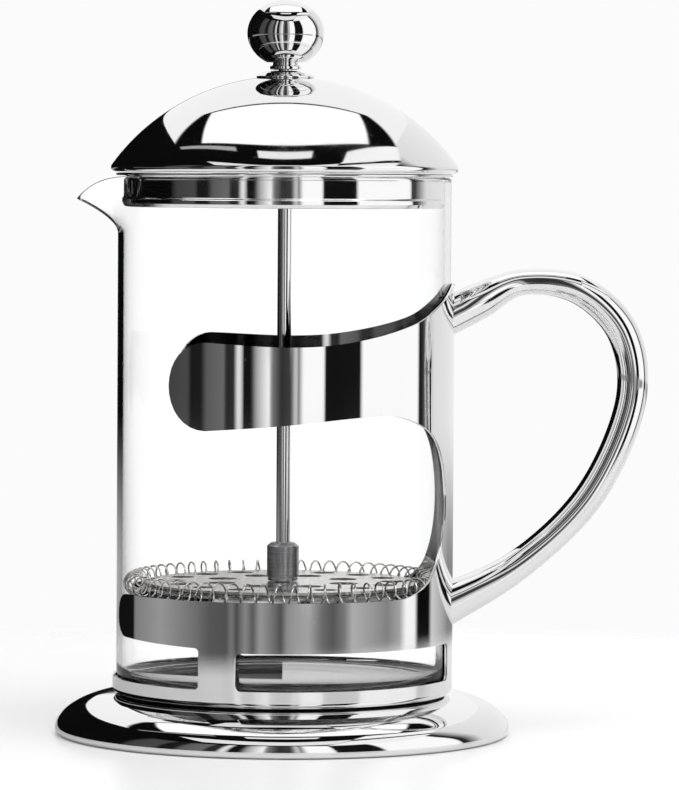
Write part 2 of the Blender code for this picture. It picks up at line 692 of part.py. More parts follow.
def hub_sleeve(parent, material):
    """The sleeve that joins the rod to the filter's screw."""
    top = HUB_BOTTOM + HUB_HEIGHT
    profile = [
        (PLATE_BORE, top),
        (HUB_RADIUS - HUB_CHAMFER, top),
        (HUB_RADIUS, top - HUB_CHAMFER * 0.7),
        (HUB_RADIUS, HUB_BOTTOM),
        (PLATE_BORE, HUB_BOTTOM),
    ]
    piece("hub_sleeve", turned(profile, SMALL_SIDES, closed=True), parent, material)


def filter_stack(parent, plate_material, screen_material):
    """The plates under the hub, from the top: spiral plate, woven screen and cross plate."""
    bore = (0.0, 0.0, PLATE_BORE, BORE_SIDES)
    spiral_holes = ring_of_holes(16, PLATE_RADIUS * 0.80, PLATE_RADIUS * 0.09)
    spiral_holes += ring_of_holes(8, PLATE_RADIUS * 0.48, PLATE_RADIUS * 0.11, turn=0.5)
    bottom = PLATE_MIDDLE - PLATE_THICKNESS / 2
    disc = pierced_disc(PLATE_RADIUS, [bore, *spiral_holes], bottom, PLATE_THICKNESS)
    piece("spiral_plate", disc, parent, plate_material)
    bottom -= GAP + SCREEN_THICKNESS
    screen = pierced_disc(PLATE_RADIUS, [bore], bottom, SCREEN_THICKNESS)
    piece("filter_screen", screen, parent, screen_material)
    bottom -= GAP + PLATE_THICKNESS
    cross_holes = ring_of_holes(8, PLATE_RADIUS * 0.62, PLATE_RADIUS * 0.2)
    disc = pierced_disc(PLATE_RADIUS * 0.97, [bore, *cross_holes], bottom, PLATE_THICKNESS)
    piece("cross_plate", disc, parent, plate_material)
    return bottom


def filter_fasteners(parent, material, stack_bottom):
    """The washer and the slotted screw that clamp the plates to the hub from below."""
    washer_bottom = stack_bottom - GAP - PLATE_THICKNESS
    ring = turned_ring(PLATE_BORE, FILTER_WASHER_RADIUS, washer_bottom, stack_bottom - GAP, SMALL_SIDES)
    piece("filter_washer", ring, parent, material)
    head_top = washer_bottom - GAP
    head_bottom = head_top - SCREW_HEAD_HEIGHT
    profile = [
        (0.0, SCREW_END),
        (ROD_RADIUS, SCREW_END),
        (ROD_RADIUS, head_top),
        (SCREW_HEAD_RADIUS, head_top),
        (SCREW_HEAD_RADIUS, head_top - SCREW_HEAD_HEIGHT * 0.4),
        (SCREW_HEAD_RADIUS * 0.7, head_bottom),
        (0.0, head_bottom),
    ]
    screw = piece("filter_screw", turned(profile, SMALL_SIDES), parent, material)
    width, depth = SCREW_SLOT
    bm = bmesh.new()
    size = Matrix.Diagonal((3 * SCREW_HEAD_RADIUS, width, 2 * depth, 1.0))
    bmesh.ops.create_cube(bm, size=1.0, matrix=Matrix.Translation((0.0, 0.0, head_bottom)) @ size)
    cutter = piece("screw_slot_cutter", bm, parent, material)
    hide(cutter)
    cut(screw, cutter, "driver slot")


def coil_spring(parent, material):
    """The endless coil of spring wire round the filter's edge."""
    curve = bpy.data.curves.new("coil_spring", "CURVE")
    curve.dimensions = "3D"
    curve.bevel_depth = COIL_WIRE / 2
    curve.bevel_resolution = 0
    spline = curve.splines.new("POLY")
    count = COIL_TURNS * COIL_POINTS_PER_TURN
    spline.points.add(count - 1)
    spline.use_cyclic_u = True
    for index, point in enumerate(spline.points):
        round_axis = 2 * math.pi * index / count
        round_wire = 2 * math.pi * index / COIL_POINTS_PER_TURN
        radius = COIL_CENTRE_RADIUS + COIL_RADIUS * math.cos(round_wire)
        height = PLATE_MIDDLE + COIL_RADIUS * math.sin(round_wire)
        point.co = (radius * math.cos(round_axis), radius * math.sin(round_axis), height, 1.0)
    curve.materials.append(material)
    coil = bpy.data.objects.new("coil_spring", curve)
    bpy.context.scene.collection.objects.link(coil)
    coil.parent = parent


def build():
    clear_scene()
    mirror = mirror_steel()
    satin = satin_steel()
    spring = spring_steel()
    carrier = axis_empty("carrier", x=AXIS_X)
    beaker = axis_empty("beaker", carrier)
    lid_core = axis_empty("lid_core", beaker)
    lid_shell = axis_empty("lid_shell", lid_core)
    plunger = axis_empty("plunger", lid_core)

    saucer_base(carrier, mirror)
    carrier_frame(carrier, mirror)
    handle(carrier, mirror)
    glass_beaker(beaker, clear_glass())
    lid_ferrule(lid_core, mirror)
    ferrule_clamp(lid_core, satin)
    rod_bushing(lid_core, nylon())
    lid_dome(lid_shell, mirror)
    lid_skirt(lid_shell, mirror)
    knob_ball(plunger, mirror)
    knob_collar(plunger, mirror)
    plunger_rod(plunger, satin)
    hub_sleeve(plunger, satin)
    stack_bottom = filter_stack(plunger, spring, woven_steel())
    filter_fasteners(plunger, satin, stack_bottom)
    coil_spring(plunger, spring)


if __name__ == "__main__":
    build()
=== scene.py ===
"""A french press in polished steel and clear glass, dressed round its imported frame.

The press stands on the table plane with its handle towards +X and its spout towards -X.
Lengths are in metres. Turned pieces are drawn as a profile of (radius, height) corners and
spun about the press's own axis; the carrier is cut flat, wrapped round that axis and closed
with a floor.
"""

from __future__ import annotations

import logging
import math
from dataclasses import dataclass, field
from enum import Enum

import bmesh
import bpy
from mathutils import Matrix, Quaternion, Vector
from mathutils.geometry import interpolate_bezier


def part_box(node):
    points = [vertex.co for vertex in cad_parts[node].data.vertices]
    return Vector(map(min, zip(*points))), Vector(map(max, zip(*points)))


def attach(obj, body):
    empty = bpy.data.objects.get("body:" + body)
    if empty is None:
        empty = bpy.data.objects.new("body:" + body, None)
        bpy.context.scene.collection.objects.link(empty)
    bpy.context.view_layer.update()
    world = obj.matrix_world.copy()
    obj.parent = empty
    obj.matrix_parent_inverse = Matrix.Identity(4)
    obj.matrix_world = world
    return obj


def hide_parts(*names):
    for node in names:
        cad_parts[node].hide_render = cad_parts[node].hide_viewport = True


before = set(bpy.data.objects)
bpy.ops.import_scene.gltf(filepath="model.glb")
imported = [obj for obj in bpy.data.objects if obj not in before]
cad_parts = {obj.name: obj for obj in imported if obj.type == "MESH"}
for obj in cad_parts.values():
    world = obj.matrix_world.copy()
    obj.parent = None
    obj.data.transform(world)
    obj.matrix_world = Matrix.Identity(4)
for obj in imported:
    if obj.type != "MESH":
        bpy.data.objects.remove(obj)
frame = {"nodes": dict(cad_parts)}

LOG = logging.getLogger("french press")
MM = 0.001
Corner = tuple[float, float, float]
Colour = tuple[float, float, float]
Pair = tuple[float, float]


class Slot(Enum):
    """The record's material slots."""

    MIRROR = "mirror_steel"
    SATIN = "satin_steel"
    SPRING = "spring_steel"
    WOVEN = "woven_steel"
    GLASS = "clear_glass"
    NYLON = "nylon"


class Body(Enum):
    """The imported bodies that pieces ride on."""

    CARRIER = "carrier"
    BEAKER = "beaker"
    LID_CORE = "lid_core"
    LID_SHELL = "lid_shell"
    PLUNGER = "plunger"


class Grain(Enum):
    """How worked steel is marked, as the stretch of its marks along the three axes."""

    TURNED = (0.06, 0.06, 1.0)
    ROLLED = (0.05, 1.0, 1.0)


# Shader maths


class Field:
    """A socket that can be used in an expression; each operator adds its Math node."""

    def __init__(self, bench: Bench, socket: bpy.types.NodeSocket) -> None:
        """Hold a socket.

        Args:
            bench: The bench that owns the node tree.
            socket: The output socket that carries the value.
        """
        self.bench = bench
        self.socket = socket

    def _with(self, operation: str, first: FieldLike, second: FieldLike) -> Field:
        """Add one Math node.

        Args:
            operation: The Math node's operation.
            first: The first value.
            second: The second value.

        Returns:
            The node's result.
        """
        return self.bench.add("ShaderNodeMath", {"operation": operation}, {0: first, 1: second})

    def __add__(self, other: FieldLike) -> Field:
        """Return this plus the other."""
        return self._with("ADD", self, other)

    __radd__ = __add__

    def __sub__(self, other: FieldLike) -> Field:
        """Return this minus the other."""
        return self._with("SUBTRACT", self, other)

    def __rsub__(self, other: FieldLike) -> Field:
        """Return the other minus this."""
        return self._with("SUBTRACT", other, self)

    def __mul__(self, other: FieldLike) -> Field:
        """Return this times the other."""
        return self._with("MULTIPLY", self, other)

    __rmul__ = __mul__

    def __truediv__(self, other: FieldLike) -> Field:
        """Return this divided by the other."""
        return self._with("DIVIDE", self, other)

    def __pow__(self, other: FieldLike) -> Field:
        """Return this raised to the other."""
        return self._with("POWER", self, other)

    def __gt__(self, other: FieldLike) -> Field:
        """Return 1 where this is above the other, else 0."""
        return self._with("GREATER_THAN", self, other)

    def __lt__(self, other: FieldLike) -> Field:
        """Return 1 where this is below the other, else 0."""
        return self._with("LESS_THAN", self, other)

    def above(self, low: float, high: float) -> Field:
        """Return a soft step from 0 at low to 1 at high."""
        settings = {"interpolation_type": "SMOOTHSTEP"}
        return self.bench.add("ShaderNodeMapRange", settings, {0: self, 1: low, 2: high})

    def function(self, operation: str, other: FieldLike = 0.0) -> Field:
        """Return a named Math operation of this and, where it takes one, the other."""
        return self._with(operation, self, other)


FieldLike = Field | float


class Bench:
    """A node tree being wired."""

    def __init__(self, tree: bpy.types.NodeTree) -> None:
        """Start on a tree.

        Args:
            tree: The node tree of a material or of the world.
        """
        self.tree = tree

    def add(
        self,
        kind: str,
        settings: dict[str, object] | None = None,
        sockets: dict[int | str, object] | None = None,
        output: int | str = 0,
    ) -> Field:
        """Add a node, set it and wire it.

        Args:
            kind: The node's type.
            settings: Attributes set before the sockets; "stops" fills a colour ramp.
            sockets: Values or Fields for the input sockets, by index or name.
            output: The output socket to return.

        Returns:
            The chosen output.
        """
        node = self.tree.nodes.new(kind)
        for name, value in (settings or {}).items():
            if name == "stops":
                self._fill_ramp(node.color_ramp, value)
            else:
                setattr(node, name, value)
        for key, value in (sockets or {}).items():
            if isinstance(value, Field):
                self.tree.links.new(value.socket, node.inputs[key])
            else:
                node.inputs[key].default_value = value
        return Field(self, node.outputs[output])

    def _fill_ramp(self, ramp: bpy.types.ColorRamp, stops: list[tuple[float, float]]) -> None:
        """Fill a ramp with greys.

        Args:
            ramp: The ramp.
            stops: Positions and their grey levels, in order.
        """
        while len(ramp.elements) > 1:
            ramp.elements.remove(ramp.elements[-1])
        ramp.elements[0].position = stops[0][0]
        for position, _ in stops[1:]:
            ramp.elements.new(position)
        for element, (_, grey) in zip(ramp.elements, stops):
            element.color = (grey, grey, grey, 1.0)

    def place(self, scale: Corner = (1.0, 1.0, 1.0), centre: Vector | None = None) -> Field:
        """Give object coordinates, moved so that the centre is at zero and then scaled.

        Args:
            scale: The scale along each axis.
            centre: The point that goes to zero; the origin where it is left out.

        Returns:
            The coordinates.
        """
        found = self.add("ShaderNodeTexCoord", output="Object")
        middle = centre or Vector((0.0, 0.0, 0.0))
        shift = tuple(-middle[axis] * scale[axis] for axis in range(3))
        sockets = {"Vector": found, "Location": shift, "Scale": scale}
        return self.add("ShaderNodeMapping", None, sockets)

    def noise(
        self, where: Field, scale: float, detail: float = 3.0, roughness: float = 0.5
    ) -> Field:
        """Return noise from 0 to 1 at a scale."""
        sockets = {"Vector": where, "Scale": scale, "Detail": detail, "Roughness": roughness}
        return self.add("ShaderNodeTexNoise", None, sockets, "Fac")

    def outputs(self, found: Field, count: int) -> list[Field]:
        """Return the first few outputs of the node that a Field comes from."""
        return [Field(self, found.socket.node.outputs[index]) for index in range(count)]

    def split(self, where: Field) -> list[Field]:
        """Return a vector's three parts."""
        return self.outputs(self.add("ShaderNodeSeparateXYZ", None, {0: where}), 3)

    def blend(self, share: Field, first: Colour | Field, second: Colour | Field) -> Field:
        """Mix two colours.

        Args:
            share: How much of the second colour shows.
            first: The first colour.
            second: The second colour.

        Returns:
            The mixed colour.
        """
        sockets: dict[int | str, object] = {0: share}
        for index, colour in ((6, first), (7, second)):
            sockets[index] = colour if isinstance(colour, Field) else (*colour, 1.0)
        return self.add("ShaderNodeMix", {"data_type": "RGBA"}, sockets, 2)

    def bump(self, height: Field, strength: float, distance: float) -> Field:
        """Return a normal bent by a height."""
        sockets = {"Height": height, "Strength": strength, "Distance": distance}
        return self.add("ShaderNodeBump", None, sockets)


def new_material(name: str) -> tuple[bpy.types.Material, Bench, bpy.types.Node]:
    """Start a Principled material.

    Args:
        name: The material's name.

    Returns:
        The material, its bench and its Principled node.
    """
    material = bpy.data.materials.new(name)
    material.use_nodes = True
    return material, Bench(material.node_tree), material.node_tree.nodes["Principled BSDF"]


def feed(bench: Bench, shader: bpy.types.Node, **fields: FieldLike | tuple[float, ...]) -> None:
    """Wire or set a shader's sockets, whose names are given with _ for a space.

    Args:
        bench: The bench of the shader's tree.
        shader: The node to feed.
        fields: Values by socket name.
    """
    for name, value in fields.items():
        socket = shader.inputs[name.replace("_", " ")]
        if isinstance(value, Field):
            bench.tree.links.new(value.socket, socket)
        else:
            socket.default_value = value


def stand(name: str, data: bpy.types.ID) -> bpy.types.Object:
    """Add an object to the scene.

    Args:
        name: The object's name.
        data: Its mesh, curve, light or camera.

    Returns:
        The object.
    """
    made = bpy.data.objects.new(name, data)
    bpy.context.scene.collection.objects.link(made)
    return made


# Finishes


@dataclass(frozen=True)
class PolishedSteel:
    """Mirror-polished stainless steel with faint handling marks."""

    centre: Vector
    name: str = "polished steel"
    bright: Colour = (0.90, 0.90, 0.90)
    dull: Colour = (0.83, 0.83, 0.84)
    gloss: float = 0.035
    smear: float = 0.055
    ripple: float = 0.06
    cloud_scale: float = 38.0
    hair_scale: float = 900.0
    speck_scale: float = 520.0
    sway_scale: float = 17.0
    fine_scale: float = 160.0
    ring_scale: float = 700.0
    floor_heights: Pair = (11.9 * MM, 13.3 * MM)
    floor_soft: float = 0.1 * MM
    floor_radius: float = 48.0 * MM
    # The cup's floor under the beaker takes painted shade: less metal, and these dark and light
    # greys.
    floor_shade_matt: float = 0.8
    floor_shade_dark: Colour = (0.10, 0.10, 0.10)
    floor_shade_light: Colour = (0.32, 0.32, 0.32)

    def make(self) -> bpy.types.Material:
        """Build the material, with painted shade on the floor of the cup: dark, matt and marked
        with rings.

        Returns:
            The polished material.
        """
        material, bench, shader = new_material(self.name)
        where = bench.place(centre=self.centre)
        cloud = bench.noise(where, self.cloud_scale, 4.0, 0.55)
        hair = bench.noise(bench.place((1.0, 1.0, 0.12), self.centre), self.hair_scale, 2.0)
        speck = bench.noise(where, self.speck_scale, 1.0).above(0.70, 0.80)
        smears = cloud.above(0.52, 0.78)
        roughness = self.gloss + smears * self.smear + hair.above(0.55, 0.9) * 0.02
        roughness = roughness + speck * 0.05
        sway = bench.noise(where, self.sway_scale, 1.0)
        fine = bench.noise(where, self.fine_scale, 2.0)
        normal = bench.bump(sway + fine * 0.02, self.ripple, 0.0012)
        colour = bench.blend(smears * 0.6 + speck * 0.3, self.bright, self.dull)
        across, along, up = bench.split(where)
        reach = (across * across + along * along) ** 0.5
        low, high = self.floor_heights
        layer = up.above(low, low + self.floor_soft)
        layer = layer * (1.0 - up.above(high - self.floor_soft, high))
        # Painted shade on the cup's floor under the beaker: dark ringed greys, matt and less
        # metallic.
        floor = layer * (reach < self.floor_radius)
        place = bench.place((0.08, 1.0, 1.0), self.centre)
        rings = bench.noise(place, self.ring_scale, 4.0, 0.65)
        painted_floor_shade = bench.blend(rings.above(0.35, 0.65), self.floor_shade_dark, self.floor_shade_light)
        colour = bench.blend(floor, colour, painted_floor_shade)
        roughness = roughness + floor * (0.5 + rings * 0.2)
        feed(bench, shader, Base_Color=colour, Metallic=1.0 - floor * self.floor_shade_matt)
        feed(bench, shader, Roughness=roughness, Normal=normal)
        return material


@dataclass(frozen=True)
class WorkedSteel:
    """Steel that keeps the marks of the tool: turned rings or rolled streaks."""

    centre: Vector
    name: str
    grain: Grain
    bright: Colour
    dull: Colour
    roughness: float
    depth: float = 0.12
    line_scale: float = 2600.0
    cloud_scale: float = 90.0

    def make(self) -> bpy.types.Material:
        """Build the material.

        Returns:
            The worked material.
        """
        material, bench, shader = new_material(self.name)
        lines = bench.noise(bench.place(self.grain.value, self.centre), self.line_scale, 3.0, 0.6)
        cloud = bench.noise(bench.place(centre=self.centre), self.cloud_scale, 4.0, 0.6)
        share = lines.above(0.3, 0.7) * 0.65 + cloud.above(0.4, 0.7) * 0.35
        roughness = self.roughness + lines.above(0.35, 0.75) * 0.12 + cloud * 0.06
        colour = bench.blend(share, self.bright, self.dull)
        normal = bench.bump(lines, self.depth, 0.0002)
        feed(bench, shader, Base_Color=colour, Metallic=1.0, Roughness=roughness, Normal=normal)
        return material


@dataclass(frozen=True)
class WireCloth:
    """Fine woven wire, with its crossings in relief and painted shade in its openings."""

    centre: Vector
    name: str = "wire cloth"
    pitch: float = 0.55 * MM
    # Painted shade seen through the openings between the wires.
    gap: Colour = (0.05, 0.05, 0.05)
    wire: Colour = (0.62, 0.61, 0.59)

    def make(self) -> bpy.types.Material:
        """Build the material.

        Returns:
            The woven material.
        """
        material, bench, shader = new_material(self.name)
        across, along, _ = bench.split(bench.place(centre=self.centre))
        turn = math.pi / self.pitch
        warp = (across * turn).function("SINE").function("ABSOLUTE")
        weft = (along * turn).function("SINE").function("ABSOLUTE")
        slow_warp, slow_weft = ((line * (turn / 2)).function("SINE") for line in (across, along))
        over = (slow_warp * slow_weft).above(-0.1, 0.1)
        relief = warp * over + weft * (1.0 - over)
        # The openings between the wires get painted shade.
        shaded_opening = (warp + weft).above(0.35, 0.8)
        colour = bench.blend(shaded_opening, self.gap, self.wire)
        normal = bench.bump(relief, 0.6, 0.0003)
        roughness = 0.5 - relief * 0.15
        feed(bench, shader, Base_Color=colour, Metallic=1.0, Roughness=roughness, Normal=normal)
        return material


@dataclass(frozen=True)
class ClearGlass:
    """Clear blown glass with faint smears and a slight waviness."""

    centre: Vector
    name: str = "clear glass"
    tint: Colour = (0.997, 0.999, 0.998)
    smeared: Colour = (0.99, 0.993, 0.993)
    index: float = 1.2

    def make(self) -> bpy.types.Material:
        """Build the material.

        Returns:
            The glass material.
        """
        material, bench, shader = new_material(self.name)
        cloud = bench.noise(bench.place((1.0, 1.0, 0.35), self.centre), 45.0, 4.0, 0.6)
        smear = cloud.above(0.58, 0.8)
        draw = bench.noise(bench.place((1.0, 1.0, 0.1), self.centre), 28.0, 1.0)
        colour = bench.blend(smear * 0.5, self.tint, self.smeared)
        normal = bench.bump(draw, 0.02, 0.0006)
        feed(bench, shader, Base_Color=colour, Roughness=smear * 0.02, Normal=normal)
        feed(bench, shader, Transmission_Weight=1.0, IOR=self.index)
        return material


@dataclass(frozen=True)
class MouldedNylon:
    """Off-white moulded nylon."""

    centre: Vector
    name: str = "moulded nylon"
    dull: Colour = (0.80, 0.80, 0.77)
    bright: Colour = (0.86, 0.86, 0.84)

    def make(self) -> bpy.types.Material:
        """Build the material.

        Returns:
            The nylon material.
        """
        material, bench, shader = new_material(self.name)
        cloud = bench.noise(bench.place(centre=self.centre), 300.0, 3.0)
        colour = bench.blend(cloud, self.dull, self.bright)
        normal = bench.bump(bench.noise(bench.place(centre=self.centre), 2400.0), 0.1, 0.0002)
        feed(bench, shader, Base_Color=colour, Roughness=0.42 + cloud * 0.12, Normal=normal)
        return material


# Drawing and shaping


def arc(
    centre: Pair, radius: float, start: float, end: float, steps: int, squash: float = 1.0
) -> list[Pair]:
    """Draw points along an arc.

    Args:
        centre: The arc's centre as (radius, height).
        radius: The arc's radius.
        start: The first angle in degrees.
        end: The last angle in degrees.
        steps: How many steps it takes.
        squash: What its height is multiplied by.

    Returns:
        The points in order.
    """
    points = []
    for step in range(steps + 1):
        angle = math.radians(start + (end - start) * step / steps)
        up = radius * squash * math.sin(angle)
        points.append((centre[0] + radius * math.cos(angle), centre[1] + up))
    return points


def smooth_run(points: list[tuple[float, ...]], steps: int) -> list[Vector]:
    """Draw one smooth curve through points.

    Args:
        points: The points it passes through.
        steps: Steps between one point and the next.

    Returns:
        The curve's points.
    """
    knots = [Vector(point) for point in points]
    before = [2 * knots[0] - knots[1], *knots[:-1]]
    after = [*knots[1:], 2 * knots[-1] - knots[-2]]
    slopes = [(late - early) / 6 for early, late in zip(before, after)]
    run = []
    for index in range(len(knots) - 1):
        leave = knots[index] + slopes[index]
        arrive = knots[index + 1] - slopes[index + 1]
        span = interpolate_bezier(knots[index], leave, arrive, knots[index + 1], steps + 1)
        run.extend(span[:-1])
    return [*run, knots[-1]]


@dataclass
class Profile:
    """A line of (radius, height) points with the exact normal of the surface at each."""

    points: list[Pair] = field(default_factory=list)
    normals: list[Vector] = field(default_factory=list)
    closed: bool = False

    @classmethod
    def filleted(cls, corners: list[Corner], closed: bool = False, steps: int = 5) -> Profile:
        """Draw straight lines whose corners are rounded.

        Args:
            corners: (radius, height, fillet radius) of each corner.
            closed: Whether the line returns to its start.
            steps: Steps round a fillet.

        Returns:
            The profile, with normals to the left of its direction.
        """
        made = cls(closed=closed)
        count = len(corners)
        for index, (r, z, fillet) in enumerate(corners):
            here = Vector((r, z))
            into = away = None
            if closed or index:
                into = (here - Vector(corners[index - 1][:2])).normalized()
            if closed or index < count - 1:
                away = (Vector(corners[(index + 1) % count][:2]) - here).normalized()
            into, away = into or away, away or into
            turn = into.angle_signed(away, 0.0)
            if fillet <= 0.0 or abs(turn) < 1e-4:
                normal = (made.left_of(into) + made.left_of(away)).normalized()
                made.points.append((r, z))
                made.normals.append(normal)
                continue
            reach = fillet * math.tan(abs(turn) / 2)
            side = -1.0 if turn > 0 else 1.0
            centre = here - into * reach + made.left_of(into) * fillet * side
            for step in range(steps + 1):
                normal = made.left_of(into)
                normal.rotate(Matrix.Rotation(-turn * step / steps, 2))
                point = centre - normal * fillet * side
                made.points.append((point.x, point.y))
                made.normals.append(normal)
        return made

    def thickened(self, thickness: float) -> Profile:
        """Turn a sheet's outer face into the whole sheet, with rounded edges.

        Args:
            thickness: The sheet's thickness, which grows away from the normals.

        Returns:
            The profile; it is closed unless the face starts on the axis.
        """
        on_axis = self.points[0][0] < 1e-6
        made = Profile(list(self.points), [normal.copy() for normal in self.normals], not on_axis)
        if on_axis:
            made.normals[0] = Vector((0.0, 1.0))
        far = self.lip(-1, thickness)
        made.points += far.points
        made.normals += far.normals
        for point, normal in reversed(list(zip(self.points, self.normals))):
            inner = Vector(point) - normal * thickness
            made.points.append((0.0 if point[0] < 1e-6 else inner.x, inner.y))
            made.normals.append(-normal)
        if not on_axis:
            near = self.lip(0, thickness)
            made.points += near.points
            made.normals += near.normals
        return made

    def lip(self, index: int, thickness: float) -> Profile:
        """Round a sheet's edge.

        Args:
            index: -1 for the face's last point, 0 for its first.
            thickness: The sheet's thickness.

        Returns:
            The points between the two faces.
        """
        end = Vector(self.points[index])
        normal = self.normals[index]
        out = (end - Vector(self.points[-2 if index else 1])).normalized()
        middle = end - normal * thickness / 2
        made = Profile()
        for step in range(1, 4):
            turn = math.pi * (step if index else 4 - step) / 4
            way = normal * math.cos(turn) + out * math.sin(turn)
            point = middle + way * thickness / 2
            made.points.append((point.x, point.y))
            made.normals.append(way)
        return made

    @staticmethod
    def left_of(way: Vector) -> Vector:
        """Return the direction to the left of another."""
        return Vector((-way.y, way.x))


def spun(profile: Profile, sides: int) -> bmesh.types.BMesh:
    """Spin a profile about the axis.

    Args:
        profile: What is spun.
        sides: Steps round the axis.

    Returns:
        A bmesh whose vertices carry their exact normals in the layer "way".
    """
    bm = bmesh.new()
    layer = bm.verts.layers.float_vector.new("way")
    verts = []
    for (r, z), normal in zip(profile.points, profile.normals):
        vert = bm.verts.new((r, 0.0, z))
        vert[layer] = Vector((normal.x, 0.0, normal.y))
        verts.append(vert)
    ends = verts[1:] + (verts[:1] if profile.closed else [])
    edges = [bm.edges.new(pair) for pair in zip(verts, ends)]
    bmesh.ops.spin(
        bm,
        geom=bm.verts[:] + edges,
        cent=(0.0, 0.0, 0.0),
        axis=(0.0, 0.0, 1.0),
        angle=2 * math.pi,
        steps=sides,
        use_merge=True,
    )
    bmesh.ops.remove_doubles(bm, verts=bm.verts, dist=1e-7)
    bmesh.ops.recalc_face_normals(bm, faces=bm.faces)
    for vert in bm.verts:
        flat = vert.co.xy
        way = vert[layer]
        if flat.length > 1e-6:
            out = flat.normalized() * way.x
            vert[layer] = Vector((out.x, out.y, way.z))
        else:
            vert[layer] = Vector((0.0, 0.0, math.copysign(1.0, vert.normal.z)))
    return bm


@dataclass
class Workshop:
    """Where finished pieces are made: it knows the press's axis, its CAD nodes and its finishes."""

    axis_x: float
    nodes: dict[str, bpy.types.Object]
    finishes: dict[Slot, bpy.types.Material]

    def piece(
        self,
        name: str,
        bm: bmesh.types.BMesh,
        slot: Slot,
        body: Body,
        nodes: tuple[str, ...] = (),
        angle: float = 0.0,
    ) -> bpy.types.Object:
        """Turn a bmesh drawn about the origin's vertical into a dressed piece.

        Args:
            name: The piece's name.
            bm: Its mesh.
            slot: The material slot it takes its finish from.
            body: The body it rides on.
            nodes: The CAD nodes it stands for.
            angle: Above 0, edges sharper than this many degrees stay sharp.

        Returns:
            The piece.
        """
        bmesh.ops.translate(bm, verts=bm.verts, vec=(self.axis_x, 0.0, 0.0))
        bm.normal_update()
        exact = self.exact_normals(bm)
        mesh = bpy.data.meshes.new(name)
        bm.to_mesh(mesh)
        bm.free()
        mesh.shade_smooth()
        if exact:
            mesh.normals_split_custom_set_from_vertices(exact)
        elif angle:
            mesh.set_sharp_from_angle(angle=math.radians(angle))
        mesh.materials.append(self.finishes[slot])
        piece = stand(name, mesh)
        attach(piece, body.value)
        if nodes:
            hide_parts(*nodes)
        LOG.info("%s: %d faces", name, len(mesh.polygons))
        return piece

    def exact_normals(self, bm: bmesh.types.BMesh) -> list[Vector]:
        """Read the normals that a mesh carries in its layer "way", and drop the layer.

        Args:
            bm: The mesh.

        Returns:
            One normal for each vertex, or nothing where the mesh has no such layer.
        """
        layer = bm.verts.layers.float_vector.get("way")
        if layer is None:
            return []
        normals = []
        for vert in bm.verts:
            way = vert[layer].copy()
            if way.length < 0.5:
                way = vert.normal.copy()
            normals.append(way if way.dot(vert.normal) >= 0.0 else -way)
        bm.verts.layers.float_vector.remove(layer)
        return normals

    def dress(self, node: str, slot: Slot) -> None:
        """Give a CAD node that stays in view its finish.

        Args:
            node: The node's name.
            slot: The material slot it takes its finish from.
        """
        materials = self.nodes[node].data.materials
        materials.clear()
        materials.append(self.finishes[slot])
        LOG.info("%s: dressed", node)


# Sub-assemblies


@dataclass
class SaucerBase:
    """The crowned steel saucer that the press stands on."""

    sheet: float = 0.9 * MM
    flat_radius: float = 49.5 * MM
    hem: float = 3.2 * MM
    edge: tuple[Pair, ...] = (
        (17.5, 11.7),
        (14.0, 11.42),
        (10.2, 10.55),
        (6.5, 9.1),
        (3.1, 6.95),
        (0.9, 4.5),
        (0.0, 2.3),
        (0.2, 0.95),
        (0.85, 0.22),
        (1.8, 0.0),
    )
    sides: int = 256

    def build(self, shop: Workshop) -> None:
        """Build the saucer.

        Args:
            shop: Where it is made.
        """
        low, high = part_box("saucer_base")
        radius = (high.x - low.x) / 2
        bend = [(radius - inset * MM, height * MM) for inset, height in self.edge]
        line = [(point.x, point.y) for point in smooth_run(bend, 6)]
        path = [(0.0, high.z), (self.flat_radius * 0.6, high.z), *line, (radius - self.hem, 0.0)]
        face = Profile.filleted([(r, z, 0.0) for r, z in path])
        bm = spun(face.thickened(self.sheet), self.sides)
        shop.piece("saucer_base_polished", bm, Slot.MIRROR, Body.CARRIER, ("saucer_base",))


